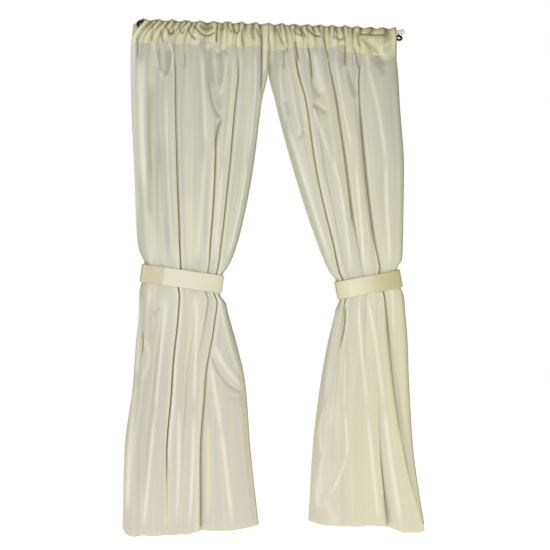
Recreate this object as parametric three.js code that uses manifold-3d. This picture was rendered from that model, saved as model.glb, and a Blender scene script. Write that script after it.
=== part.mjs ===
// A pair of gathered window curtains on one rod, each held back to its own side by a flat tie band.
// Millimetres. +X runs along the rod to the viewer's right, +Y goes to the wall and +Z is up.
// The origin is the middle of the rod's axis, so the cloth hangs at negative Z.

import * as THREE from 'three';
import { mergeVertices } from 'three/addons/utils/BufferGeometryUtils.js';
import Module from 'manifold-3d';

const wasm = await Module();
wasm.setup();

// Driving dimensions
const CLOTH_THICKNESS = 1.6;
const SEAT_GAP = 0.3;
const ROD = { radius: 8, leftEnd: -505.5, rightEnd: 558, sides: 24 };
const POCKET = { slack: 1, frontGather: 12, topGather: 6, flapGap: 3.4 };
const BAND = { height: 73, thickness: 2, squareness: 6, sides: 48 };
const LEFT_EYE = { x: -525.5, z: -4, ringRadius: 11.5, wireRadius: 5.7, shankRadius: 4 };
const RIGHT_EYE = { x: 552, z: -25, ringRadius: 12, wireRadius: 5, shankRadius: 3, shankY: 5, lean: 33 };
const KNOB = { neckRadius: 6, radius: 12, length: 19 };
const RING_SIDES = 28;
const WIRE_SIDES = 10;
const SHANK_SIDES = 16;
const KNOB_SIDES = 28;

// Columns of the sections of a curtain: how far the section hangs below the rod at its left and right
// edge, where those edges are, the foremost and rearmost depth of its folds, and the mesh rows down to
// the next section.
const SECTION_COLUMNS = ['place', 'dropLeft', 'dropRight', 'left', 'right', 'front', 'back', 'rows'];

const LEFT_SECTIONS = table(SECTION_COLUMNS, [
  ['seam', 92, 92, -565, -1, -26, 8, 1],
  ['throat', 165, 165, -566, -1, -30, 12, 2],
  ['upper', 312, 312, -564, -27, -36, 18, 3],
  ['chest', 602, 602, -550, -63, -40, 22, 3],
  ['waist', 882, 898, -537, -124, -38, 24, 1],
  ['overTie', 958, 1006, -521, -166, -36, 25, 1],
  ['tieTop', 986, 1034, -511, -182.5, -34, 26, 1],
  ['tieFoot', 1060, 1108, -521, -192.5, -34, 26, 1],
  ['underTie', 1088, 1136, -526, -174, -36, 27, 1],
  ['flare', 1198, 1206, -530, -157, -38, 28, 1],
  ['hip', 1315, 1320, -541, -124, -43, 30, 2],
  ['skirt', 1481, 1481, -552, -88, -48, 32, 1],
  ['shin', 1765, 1755, -587, -64, -52, 34, 2],
  ['hem', 2110, 2082, -594, -27, -56, 36, 0],
]);

const RIGHT_SECTIONS = table(SECTION_COLUMNS, [
  ['seam', 92, 92, 1, 542, -26, 8, 1],
  ['throat', 165, 165, 1, 551, -30, 12, 2],
  ['upper', 302, 302, 31, 561, -36, 18, 3],
  ['chest', 592, 592, 110, 583, -40, 22, 3],
  ['waist', 890, 872, 211, 580, -38, 24, 1],
  ['overTie', 1026, 972, 270, 575, -36, 25, 1],
  ['tieTop', 1054, 1000, 291, 557.5, -34, 26, 1],
  ['tieFoot', 1128, 1074, 305, 571.5, -34, 26, 1],
  ['underTie', 1154, 1102, 297, 583, -36, 27, 1],
  ['flare', 1204, 1192, 286, 593, -38, 28, 1],
  ['hip', 1318, 1312, 260, 606, -43, 30, 2],
  ['skirt', 1480, 1480, 232, 616, -48, 32, 2],
  ['shin', 1755, 1760, 200, 638, -52, 34, 2],
  ['hem', 2070, 2116, 184, 694, -56, 36, 0],
]);

// Columns of the folds of a curtain, from its left edge to its right: the fold's share of the section's
// width at six places, and its share of the section's depth there, 0 at the wall and 1 in front.
// An edge that lies over its neighbour has a larger share than the tuck that follows it.
const FOLD_PLACES = ['upper', 'chest', 'waist', 'tie', 'skirt', 'hem'];
const LIFT_COLUMNS = FOLD_PLACES.map((place) => `${place}Lift`);
const FOLD_COLUMNS = ['fold', ...FOLD_PLACES, ...LIFT_COLUMNS];

const LEFT_FOLDS = table(FOLD_COLUMNS, [
  ['outer edge', 0, 0, 0, 0, 0, 0, 0.2, 0.2, 0.3, 0.4, 0.3, 0.3],
  ['outer turn', 0.03, 0.03, 0.035, 0.04, 0.03, 0.03, 0.6, 0.6, 0.64, 0.7, 0.6, 0.55],
  ['side ridge', 0.085, 0.09, 0.1, 0.11, 0.09, 0.09, 0.9, 0.92, 0.91, 0.91, 0.88, 0.85],
  ['side valley', 0.16, 0.165, 0.18, 0.2, 0.16, 0.15, 0.68, 0.66, 0.76, 0.86, 0.74, 0.74],
  ['broad ridge', 0.24, 0.26, 0.3, 0.35, 0.25, 0.23, 0.93, 0.93, 0.95, 0.95, 0.95, 0.92],
  ['first edge', 0.334, 0.356, 0.415, 0.464, 0.341, 0.325, 0.85, 0.85, 0.89, 0.93, 0.85, 0.8],
  ['first tuck', 0.293, 0.317, 0.38, 0.432, 0.315, 0.338, 0.64, 0.64, 0.69, 0.74, 0.66, 0.78],
  ['narrow ridge', 0.415, 0.43, 0.485, 0.54, 0.41, 0.385, 0.72, 0.72, 0.8, 0.88, 0.8, 0.82],
  ['narrow valley', 0.488, 0.497, 0.55, 0.615, 0.455, 0.425, 0.66, 0.66, 0.76, 0.86, 0.74, 0.76],
  ['middle ridge', 0.57, 0.577, 0.63, 0.7, 0.5, 0.465, 0.78, 0.8, 0.87, 0.93, 0.88, 0.88],
  ['second edge', 0.645, 0.673, 0.722, 0.808, 0.545, 0.497, 0.74, 0.82, 0.88, 0.93, 0.84, 0.84],
  ['second tuck', 0.665, 0.643, 0.692, 0.785, 0.56, 0.512, 0.74, 0.6, 0.69, 0.78, 0.82, 0.82],
  ['slim ridge', 0.725, 0.735, 0.775, 0.86, 0.59, 0.535, 0.72, 0.7, 0.8, 0.9, 0.83, 0.84],
  ['third edge', 0.792, 0.793, 0.83, 0.912, 0.633, 0.563, 0.8, 0.8, 0.86, 0.92, 0.85, 0.85],
  ['third tuck', 0.757, 0.758, 0.8, 0.895, 0.595, 0.525, 0.58, 0.58, 0.67, 0.76, 0.62, 0.55],
  ['inner ridge', 0.865, 0.865, 0.885, 0.953, 0.7, 0.65, 0.78, 0.78, 0.83, 0.88, 0.74, 0.7],
  ['skirt ridge', 0.925, 0.928, 0.94, 0.975, 0.81, 0.79, 0.84, 0.84, 0.85, 0.86, 0.86, 0.85],
  ['inner turn', 0.975, 0.975, 0.98, 0.99, 0.94, 0.935, 0.7, 0.7, 0.71, 0.72, 0.65, 0.6],
  ['inner edge', 1, 1, 1, 1, 1, 1, 0.55, 0.4, 0.4, 0.4, 0.38, 0.35],
]);

const RIGHT_FOLDS = table(FOLD_COLUMNS, [
  ['inner edge', 0, 0, 0, 0, 0, 0, 0.12, 0.3, 0.35, 0.4, 0.35, 0.3],
  ['inner turn', 0.05, 0.05, 0.05, 0.025, 0.05, 0.05, 0.75, 0.75, 0.75, 0.75, 0.65, 0.6],
  ['inner ridge', 0.14, 0.12, 0.1, 0.045, 0.1, 0.12, 0.86, 0.86, 0.86, 0.86, 0.85, 0.85],
  ['first edge', 0.227, 0.187, 0.16, 0.08, 0.15, 0.18, 0.8, 0.8, 0.84, 0.88, 0.82, 0.82],
  ['first tuck', 0.19, 0.152, 0.13, 0.06, 0.165, 0.2, 0.6, 0.6, 0.67, 0.74, 0.8, 0.81],
  ['slim ridge', 0.285, 0.25, 0.22, 0.165, 0.235, 0.26, 0.7, 0.7, 0.8, 0.9, 0.8, 0.82],
  ['slim valley', 0.33, 0.3, 0.275, 0.23, 0.285, 0.31, 0.64, 0.64, 0.75, 0.86, 0.74, 0.76],
  ['middle ridge', 0.4, 0.375, 0.347, 0.315, 0.36, 0.38, 0.85, 0.85, 0.9, 0.94, 0.9, 0.88],
  ['second edge', 0.472, 0.461, 0.435, 0.41, 0.44, 0.455, 0.8, 0.8, 0.87, 0.93, 0.86, 0.84],
  ['second tuck', 0.435, 0.425, 0.41, 0.395, 0.455, 0.47, 0.52, 0.52, 0.7, 0.86, 0.85, 0.84],
  ['narrow ridge', 0.545, 0.535, 0.505, 0.49, 0.51, 0.525, 0.7, 0.7, 0.8, 0.9, 0.84, 0.85],
  ['skirt ridge', 0.597, 0.576, 0.565, 0.565, 0.565, 0.59, 0.76, 0.76, 0.84, 0.92, 0.88, 0.9],
  ['skirt edge', 0.622, 0.601, 0.597, 0.605, 0.62, 0.65, 0.75, 0.75, 0.84, 0.92, 0.85, 0.85],
  ['skirt tuck', 0.634, 0.611, 0.61, 0.62, 0.632, 0.622, 0.7, 0.7, 0.8, 0.9, 0.82, 0.5],
  ['overlay ridge', 0.645, 0.621, 0.625, 0.643, 0.7, 0.78, 0.76, 0.78, 0.86, 0.92, 0.87, 0.85],
  ['third edge', 0.655, 0.631, 0.641, 0.665, 0.78, 0.965, 0.75, 0.75, 0.84, 0.93, 0.83, 0.8],
  ['third tuck', 0.617, 0.595, 0.606, 0.635, 0.731, 0.88, 0.52, 0.52, 0.59, 0.66, 0.5, 0.34],
  ['broad foot', 0.735, 0.72, 0.725, 0.745, 0.83, 0.93, 0.66, 0.66, 0.75, 0.84, 0.55, 0.26],
  ['broad ridge', 0.83, 0.825, 0.83, 0.845, 0.89, 0.965, 0.88, 0.9, 0.9, 0.9, 0.6, 0.2],
  ['outer turn', 0.955, 0.955, 0.955, 0.955, 0.965, 0.988, 0.78, 0.8, 0.79, 0.78, 0.45, 0.12],
  ['outer edge', 1, 1, 1, 1, 1, 1, 0.2, 0.2, 0.3, 0.45, 0.15, 0.06],
]);

// Each curtain with the stretch of the rod that its pocket takes, and how far the pocket's back layer
// stands out past the rod's left end.
const LEFT_CURTAIN = { sections: LEFT_SECTIONS, folds: LEFT_FOLDS, pocket: [-508, -1.2], standsOut: 52 };
const RIGHT_CURTAIN = { sections: RIGHT_SECTIONS, folds: RIGHT_FOLDS, pocket: [1.2, 535], standsOut: 0 };
const STAND_OUT_FOLDS = 3;
const COLUMNS_PER_FOLD = 2;

// A fold's two layers keep the sheet's thickness down to this cosine of half the angle that the fold turns.
const SHARPEST_FOLD = 0.6;

// The heading's rows, as shares of the way from the seam up to the rod, and as turns over the rod in
// degrees.
const HEADING_RISES = [0.35, 0.7];
const HEADING_TURNS = [0, 45, 90, 135, 180];
const FLAP_FALLS = [0.7, 0.35, 0];

// Each tie band: the middle of its loop, the loop's length and depth inside, and how many degrees it falls
// towards +X.
const LEFT_TIE = { x: -351.8, y: -7.5, z: -1046, length: 336.6, depth: 52, fall: 8 };
const RIGHT_TIE = { x: 431, y: -7, z: -1066.2, length: 277, depth: 52, fall: -11 };

const CREAM_CLOTH = { color: 0xd6d2b8, roughness: 0.45, metalness: 0 };
const BAND_CLOTH = { color: 0xe4dfbe, roughness: 0.45, metalness: 0 };
const PALE_PAINT = { color: 0xe9e5d8, roughness: 0.4, metalness: 0 };
const DARK_METAL = { color: 0x1d1611, roughness: 0.4, metalness: 0.9 };

// Rows of plain numbers as records with named columns.
function table(columns, rows) {
  return rows.map((row) => Object.fromEntries(columns.map((column, k) => [column, row[k]])));
}

const mix = (from, to, share) => from + (to - from) * share;

// A smooth curve through knots that never swings past them: a slope is the harmonic mean of its two chords.
function steadyCurve(knots, values) {
  const chords = values.slice(1).map((value, k) => (value - values[k]) / (knots[k + 1] - knots[k]));
  const slopes = knots.map((_, k) => {
    const before = chords[Math.max(k - 1, 0)];
    const after = chords[Math.min(k, chords.length - 1)];
    return before * after > 0 ? (2 * before * after) / (before + after) : 0;
  });
  return (at) => {
    const k = Math.max(knots.findLastIndex((knot, i) => knot <= at && i < chords.length), 0);
    const span = knots[k + 1] - knots[k];
    const s = (at - knots[k]) / span;
    const bend = (1 - s) * (slopes[k] - chords[k]) + s * (chords[k] - slopes[k + 1]);
    return mix(values[k], values[k + 1], s) + s * (1 - s) * span * bend;
  };
}

// Smooth curves over the drop for each column of the sections.
function sectionCurves(sections) {
  const drops = sections.map((section) => (section.dropLeft + section.dropRight) / 2);
  const columns = SECTION_COLUMNS.slice(1, -1);
  const curves = columns.map((column) => steadyCurve(drops, sections.map((section) => section[column])));
  return { drops, at: (drop) => Object.fromEntries(columns.map((column, k) => [column, curves[k](drop)])) };
}

// Smooth curves over the drop for each fold's share of the width and of the depth. At the seam the cloth is
// half way from the even gathers of the rod to the folds below.
function foldCurves(folds, dropAt) {
  const drops = ['seam', ...FOLD_PLACES].map(dropAt);
  return folds.map((fold, k) => {
    const shares = FOLD_PLACES.map((place) => fold[place]);
    const seamShare = (shares[0] + k / (folds.length - 1)) / 2;
    const lifts = LIFT_COLUMNS.map((column) => fold[column]);
    return {
      share: steadyCurve(drops, [seamShare, ...shares]),
      lift: steadyCurve(drops, [lifts[0], ...lifts]),
    };
  });
}

// A row of mesh points on a smooth curve through the fold points.
function rowThrough(points) {
  const curve = new THREE.CatmullRomCurve3(points, false, 'centripetal');
  return curve.getPoints((points.length - 1) * COLUMNS_PER_FOLD);
}

// The rows of the hanging cloth from the hem up to the seam under the pocket.
function hangingRows(curtain) {
  const sections = sectionCurves(curtain.sections);
  const named = Object.fromEntries(curtain.sections.map((section, k) => [section.place, sections.drops[k]]));
  const dropAt = (place) => (place === 'tie' ? (named.tieTop + named.tieFoot) / 2 : named[place]);
  const folds = foldCurves(curtain.folds, dropAt);
  const levels = curtain.sections.flatMap((section, k) => {
    const [from, to] = [sections.drops[k], sections.drops[k + 1]];
    return Array.from({ length: section.rows }, (_, step) => mix(from, to, step / section.rows));
  });
  levels.push(named.hem);
  return levels.reverse().map((drop) => {
    const section = sections.at(drop);
    const points = folds.map((fold) => {
      const share = fold.share(drop);
      const x = mix(section.left, section.right, share);
      const y = mix(section.back, section.front, fold.lift(drop));
      const z = -mix(section.dropLeft, section.dropRight, share);
      return new THREE.Vector3(x, y, z);
    });
    return rowThrough(points);
  });
}

// The row of gathered cloth round the rod at a turn of 0 degrees in front to 180 degrees behind it.
function gatheredRow(curtain, turn) {
  const angle = THREE.MathUtils.degToRad(turn);
  const near = ROD.radius + POCKET.slack + CLOTH_THICKNESS / 2;
  const [start, end] = curtain.pocket;
  const last = curtain.folds.length - 1;
  const points = curtain.folds.map((_, k) => {
    const gather = k % 2 === 0 ? 1 : 0;
    const out = curtain.standsOut * Math.max(1 - k / STAND_OUT_FOLDS, 0) * (angle / Math.PI) ** 2;
    return new THREE.Vector3(
      mix(start, end, k / last) - out,
      -(near + gather * POCKET.frontGather) * Math.cos(angle),
      (near + gather * POCKET.topGather) * Math.sin(angle),
    );
  });
  return rowThrough(points);
}

const mixRows = (from, to, share) => from.map((point, i) => point.clone().lerp(to[i], share));

// The way a row runs at one of its points: the sum of the unit steps before and after it, which is 2 long
// where the row is straight and shorter where it turns.
function runAt(row, i) {
  const before = Math.max(i - 1, 0);
  const after = Math.min(i, row.length - 2);
  const stepIn = row[before + 1].clone().sub(row[before]).normalize();
  const stepOut = row[after + 1].clone().sub(row[after]).normalize();
  return stepIn.add(stepOut);
}

// A copy of a level row, set back from the cloth's face by a distance.
function setBack(row, distance) {
  return row.map((point, i) => {
    const along = runAt(row, i).setZ(0).normalize();
    return point.clone().add(new THREE.Vector3(-along.y, along.x, 0).multiplyScalar(distance));
  });
}

// All rows of a curtain: up from the hem, up the heading's front, over the rod and down to the sewn flap.
function curtainRows(curtain) {
  const hanging = hangingRows(curtain);
  const seam = hanging.at(-1);
  const flap = setBack(seam, POCKET.flapGap);
  const gathered = HEADING_TURNS.map((turn) => gatheredRow(curtain, turn));
  const rise = HEADING_RISES.map((share) => mixRows(seam, gathered[0], share));
  const fall = FLAP_FALLS.map((share) => mixRows(flap, gathered.at(-1), share));
  return [...hanging, ...rise, ...gathered, ...fall];
}

// The closed solid of a sheet: its rows pushed half the thickness to each side, joined round the rim.
function sheetGeometry(rows) {
  const rowCount = rows.length;
  const columnCount = rows[0].length;
  const sideSize = rowCount * columnCount;
  const positions = new Float32Array(sideSize * 6);
  const at = (i, j) => j * columnCount + i;
  rows.forEach((row, j) =>
    row.forEach((point, i) => {
      const along = runAt(row, i);
      const squeeze = Math.max(along.length() / 2, SHARPEST_FOLD);
      const up = rows[Math.min(j + 1, rowCount - 1)][i].clone().sub(rows[Math.max(j - 1, 0)][i]);
      const push = along.cross(up).normalize().multiplyScalar(CLOTH_THICKNESS / 2 / squeeze);
      point.clone().add(push).toArray(positions, at(i, j) * 3);
      point.clone().sub(push).toArray(positions, (at(i, j) + sideSize) * 3);
    }),
  );
  const triangles = [];
  for (let j = 0; j < rowCount - 1; j += 1) {
    for (let i = 0; i < columnCount - 1; i += 1) {
      const [a, b, c, d] = [at(i, j), at(i + 1, j), at(i + 1, j + 1), at(i, j + 1)];
      triangles.push(a, b, c, a, c, d);
      triangles.push(sideSize + a, sideSize + c, sideSize + b, sideSize + a, sideSize + d, sideSize + c);
    }
  }
  for (const [from, to] of rimSteps(rowCount, columnCount, at)) {
    triangles.push(from, sideSize + to, to, from, sideSize + from, sideSize + to);
  }
  const geometry = new THREE.BufferGeometry();
  geometry.setAttribute('position', new THREE.BufferAttribute(positions, 3));
  geometry.setIndex(triangles);
  geometry.computeVertexNormals();
  return geometry;
}

// The steps once round a sheet's rim, in the order of its front face.
function rimSteps(rowCount, columnCount, at) {
  const rim = [];
  for (let i = 0; i < columnCount - 1; i += 1) {
    rim.push(at(i, 0));
  }
  for (let j = 0; j < rowCount - 1; j += 1) {
    rim.push(at(columnCount - 1, j));
  }
  for (let i = columnCount - 1; i > 0; i -= 1) {
    rim.push(at(i, rowCount - 1));
  }
  for (let j = rowCount - 1; j > 0; j -= 1) {
    rim.push(at(0, j));
  }
  return rim.map((from, k) => [from, rim[(k + 1) % rim.length]]);
}

// A band's flat loop: a rounded oblong outline with a smaller one cut out of it, drawn to the band's
// height.
function bandGeometry(tie) {
  const outline = (grow) =>
    Array.from({ length: BAND.sides }, (_, k) => {
      const angle = (2 * Math.PI * k) / BAND.sides;
      const round = (wave) => Math.sign(wave) * Math.abs(wave) ** (2 / BAND.squareness);
      return new THREE.Vector2(
        (tie.length / 2 + grow) * round(Math.cos(angle)),
        (tie.depth / 2 + grow) * round(Math.sin(angle)),
      );
    });
  const shape = new THREE.Shape(outline(BAND.thickness));
  shape.holes.push(new THREE.Path(outline(0)));
  const geometry = new THREE.ExtrudeGeometry(shape, { depth: BAND.height, bevelEnabled: false });
  return geometry.translate(0, 0, -BAND.height / 2);
}

function toSolid(geometry) {
  const bare = geometry.clone();
  bare.deleteAttribute('normal');
  bare.deleteAttribute('uv');
  const merged = mergeVertices(bare);
  const vertProperties = new Float32Array(merged.attributes.position.array);
  const triVerts = new Uint32Array(merged.index.array);
  return new wasm.Manifold(new wasm.Mesh({ numProp: 3, vertProperties, triVerts }));
}

function joined(first, second) {
  const mesh = toSolid(first).add(toSolid(second)).getMesh();
  const geometry = new THREE.BufferGeometry();
  geometry.setAttribute('position', new THREE.BufferAttribute(mesh.vertProperties, 3));
  geometry.setIndex(new THREE.BufferAttribute(mesh.triVerts, 1));
  geometry.computeVertexNormals();
  return geometry;
}

// A ring of round wire that faces the viewer, with its middle at the origin.
function ringGeometry(eye) {
  const ring = new THREE.TorusGeometry(eye.ringRadius, eye.wireRadius, WIRE_SIDES, RING_SIDES);
  return ring.rotateX(Math.PI / 2);
}

// The left eye's shank runs from its ring along the rod's axis to the rod's end face.
function leftEyeGeometry() {
  const { x, ringRadius, shankRadius } = LEFT_EYE;
  const reach = ROD.leftEnd - SEAT_GAP - x;
  const length = reach - ringRadius;
  const shank = new THREE.CylinderGeometry(shankRadius, shankRadius, length, SHANK_SIDES);
  shank.rotateZ(Math.PI / 2).translate(reach - length / 2, 0, 0);
  return joined(ringGeometry(LEFT_EYE), shank);
}

// The right eye leans back at its top, and its shank stands up from there to the rod's underside.
function rightEyeGeometry() {
  const { z, ringRadius, shankRadius, shankY } = RIGHT_EYE;
  const lean = THREE.MathUtils.degToRad(RIGHT_EYE.lean);
  const foot = ringRadius * Math.cos(lean);
  const underside = -Math.sqrt(ROD.radius ** 2 - (shankY - shankRadius) ** 2);
  const length = underside - SEAT_GAP - z - foot;
  const shank = new THREE.CylinderGeometry(shankRadius, shankRadius, length, SHANK_SIDES);
  shank.rotateX(Math.PI / 2).translate(0, shankY, foot + length / 2);
  return joined(ringGeometry(RIGHT_EYE).rotateX(-lean), shank);
}

// A turned knob: a flat neck against the rod's end, a round belly and a closed nose.
function knobGeometry() {
  const { neckRadius, radius, length } = KNOB;
  const profile = [
    [0, 0],
    [neckRadius, 0],
    [radius * 0.86, length * 0.2],
    [radius, length * 0.48],
    [radius * 0.86, length * 0.78],
    [radius * 0.48, length * 0.95],
    [0, length],
  ].map(([out, along]) => new THREE.Vector2(out, along));
  return new THREE.LatheGeometry(profile, KNOB_SIDES).rotateZ(-Math.PI / 2);
}

function rodGeometry() {
  const length = ROD.rightEnd - ROD.leftEnd;
  return new THREE.CylinderGeometry(ROD.radius, ROD.radius, length, ROD.sides).rotateZ(Math.PI / 2);
}

function piece(name, geometry, finish, position = [0, 0, 0], fall = 0) {
  const mesh = new THREE.Mesh(geometry, new THREE.MeshStandardMaterial(finish));
  mesh.name = name;
  mesh.position.set(...position);
  mesh.rotation.y = THREE.MathUtils.degToRad(fall);
  return mesh;
}

const tiePiece = (name, tie) => piece(name, bandGeometry(tie), BAND_CLOTH, [tie.x, tie.y, tie.z], tie.fall);

const curtainPair = new THREE.Group();
curtainPair.add(
  piece('curtain_left', sheetGeometry(curtainRows(LEFT_CURTAIN)), CREAM_CLOTH),
  piece('curtain_right', sheetGeometry(curtainRows(RIGHT_CURTAIN)), CREAM_CLOTH),
  tiePiece('tie_left', LEFT_TIE),
  tiePiece('tie_right', RIGHT_TIE),
  piece('rod', rodGeometry(), PALE_PAINT, [(ROD.leftEnd + ROD.rightEnd) / 2, 0, 0]),
  piece('eye_left', leftEyeGeometry(), DARK_METAL, [LEFT_EYE.x, 0, LEFT_EYE.z]),
  piece('eye_right', rightEyeGeometry(), DARK_METAL, [RIGHT_EYE.x, 0, RIGHT_EYE.z]),
  piece('knob_right', knobGeometry(), PALE_PAINT, [ROD.rightEnd + SEAT_GAP, 0, 0]),
);

export default curtainPair;
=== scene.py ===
"""Looks of a pair of gathered window curtains on one rod, each held to its own side by a flat tie band.

The tables are in millimetres and the meshes in metres. +X runs along the rod to the viewer's right, +Y goes
to the wall and +Z is up. The origin is the middle of the rod's axis, and a drop is a distance below it.
"""
import logging
from dataclasses import dataclass
from enum import Enum
from typing import NamedTuple

import bpy
import numpy as np
from mathutils import Matrix, Vector


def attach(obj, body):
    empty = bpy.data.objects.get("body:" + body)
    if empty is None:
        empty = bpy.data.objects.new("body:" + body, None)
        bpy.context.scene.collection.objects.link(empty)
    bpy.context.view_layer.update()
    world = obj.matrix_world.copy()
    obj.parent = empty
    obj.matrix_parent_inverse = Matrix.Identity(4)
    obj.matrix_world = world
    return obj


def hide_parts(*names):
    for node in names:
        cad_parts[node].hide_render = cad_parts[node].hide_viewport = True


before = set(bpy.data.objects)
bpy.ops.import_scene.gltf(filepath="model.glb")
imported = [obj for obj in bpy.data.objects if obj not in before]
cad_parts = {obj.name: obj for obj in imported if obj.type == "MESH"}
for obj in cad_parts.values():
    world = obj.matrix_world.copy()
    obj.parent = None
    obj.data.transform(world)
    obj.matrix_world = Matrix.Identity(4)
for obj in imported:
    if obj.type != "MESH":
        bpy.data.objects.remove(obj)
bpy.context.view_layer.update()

LOG = logging.getLogger("curtains")
MM = 0.001
BODY = "root"
Pair = tuple[float, float]
Triple = tuple[float, float, float]

# The flat cloth of a curtain in metres, as its pattern lies in the UV map: u from the left edge and v from
# the hem.
CLOTH_WIDTH = 0.78
CLOTH_HANG = 2.02
HEM_DEPTH = 0.011
SIDE_HEM = 0.014

ROD_RADIUS = 8.0
ROD_ENDS = (-505.5, 558.0)
SEAT_GAP = 0.3
SHEET_THICKNESS = 0.8
POCKET_NEAR = 9.8
POCKET_FRONT_GATHER = 12.0
POCKET_TOP_GATHER = 6.0
FLAP_GAP = 3.4
SEAM_DROP = 92.0
# A crease's path is taken in steps and tapers over a share of it at each end. Its bell is cut off at some
# widths away, and its tint shows on a line that is a share of its width.
PATH_STEPS = 24
TAPER_SHARE = 0.2
BELL_WIDTHS = 3
LINE_SHARE = 0.7


class FoldKind(Enum):
    """How sharply the cloth turns at a fold: 1 is a round turn and smaller is crisper."""

    SOFT = 1.0
    EDGE = 0.45
    TUCK = 0.7


class Tint(Enum):
    """A crease's tint: painted highlight, painted shade, or yellow for doubled cloth and painted warm light.
    """

    # Painted highlight.
    PALE = "pale"
    # Painted shade; its mask is the one named after the tucks.
    SHADE = "tuck"
    # Yellow for doubled cloth, and painted warm light.
    GOLD = "gold"


class Section(NamedTuple):
    """A level cut through a hanging curtain: its drops, its edges and the depth of its folds."""

    place: str
    drop_left: float
    drop_right: float
    left: float
    right: float
    front: float
    back: float


class Fold(NamedTuple):
    """A fold's share of the cut's width at six places, and of its depth there, 0 at the wall."""

    name: str
    upper: float
    chest: float
    waist: float
    tie: float
    skirt: float
    hem: float
    upper_lift: float
    chest_lift: float
    waist_lift: float
    tie_lift: float
    skirt_lift: float
    hem_lift: float

    @property
    def kind(self) -> FoldKind:
        """The sort of turn, from the fold's name.

        Returns:
            An overlapping edge, the tuck behind it, or a soft fold.
        """
        if self.name.endswith("tuck"):
            return FoldKind.TUCK
        if self.name.endswith("edge") and not self.name.startswith(("inner", "outer")):
            return FoldKind.EDGE
        return FoldKind.SOFT


class Crease(NamedTuple):
    """A soft ridge, or a trough where its height is negative, on a bowed path through three points."""

    name: str
    # Its tint is painted along the path at its strength: a highlight, shade or yellow.
    tint: Tint
    start_x: float
    start_drop: float
    middle_x: float
    middle_drop: float
    end_x: float
    end_drop: float
    width: float
    height: float
    strength: float


class Pleat(NamedTuple):
    """A small gather of the pocket: its share of the pocket's width and how far it stands out."""

    share: float
    height: float


class Bend(NamedTuple):
    """A bend in a tie band's front: its share of the half length, how far it bows out and its painted shade.
    """

    share: float
    bow: float
    shade: float


class RowSpan(NamedTuple):
    """A stretch of mesh rows: the drop that it reaches up to and how far apart its rows are."""

    top: float
    apart: float


class SeamPoint(NamedTuple):
    """A point of the stitched line under the pocket."""

    x: float
    drop: float


LEFT_SECTIONS = tuple(Section(*row) for row in (
    ("seam", 92, 92, -565, -1, -26, 8),
    ("throat", 165, 165, -566, -1, -30, 12),
    ("upper", 312, 312, -564, -27, -36, 18),
    ("chest", 602, 602, -550, -63, -40, 22),
    ("waist", 882, 898, -537, -124, -38, 24),
    ("overTie", 958, 1006, -521, -166, -36, 25),
    ("tieTop", 986, 1034, -511, -182.5, -34, 26),
    ("tieFoot", 1060, 1108, -521, -192.5, -34, 26),
    ("underTie", 1088, 1136, -526, -174, -36, 27),
    ("flare", 1198, 1206, -530, -157, -38, 28),
    ("hip", 1315, 1320, -541, -124, -43, 30),
    ("skirt", 1481, 1481, -552, -88, -48, 32),
    ("shin", 1765, 1755, -587, -64, -52, 34),
    ("hem", 2110, 2082, -594, -27, -56, 36),
))

RIGHT_SECTIONS = tuple(Section(*row) for row in (
    ("seam", 92, 92, 1, 542, -26, 8),
    ("throat", 165, 165, 1, 551, -30, 12),
    ("upper", 302, 302, 31, 561, -36, 18),
    ("chest", 592, 592, 110, 583, -40, 22),
    ("waist", 890, 872, 211, 580, -38, 24),
    ("overTie", 1026, 972, 270, 575, -36, 25),
    ("tieTop", 1054, 1000, 291, 557.5, -34, 26),
    ("tieFoot", 1128, 1074, 305, 571.5, -34, 26),
    ("underTie", 1154, 1102, 297, 583, -36, 27),
    ("flare", 1204, 1192, 286, 593, -38, 28),
    ("hip", 1318, 1312, 260, 606, -43, 30),
    ("skirt", 1480, 1480, 232, 616, -48, 32),
    ("shin", 1755, 1760, 200, 638, -52, 34),
    ("hem", 2070, 2116, 184, 694, -56, 36),
))

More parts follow.
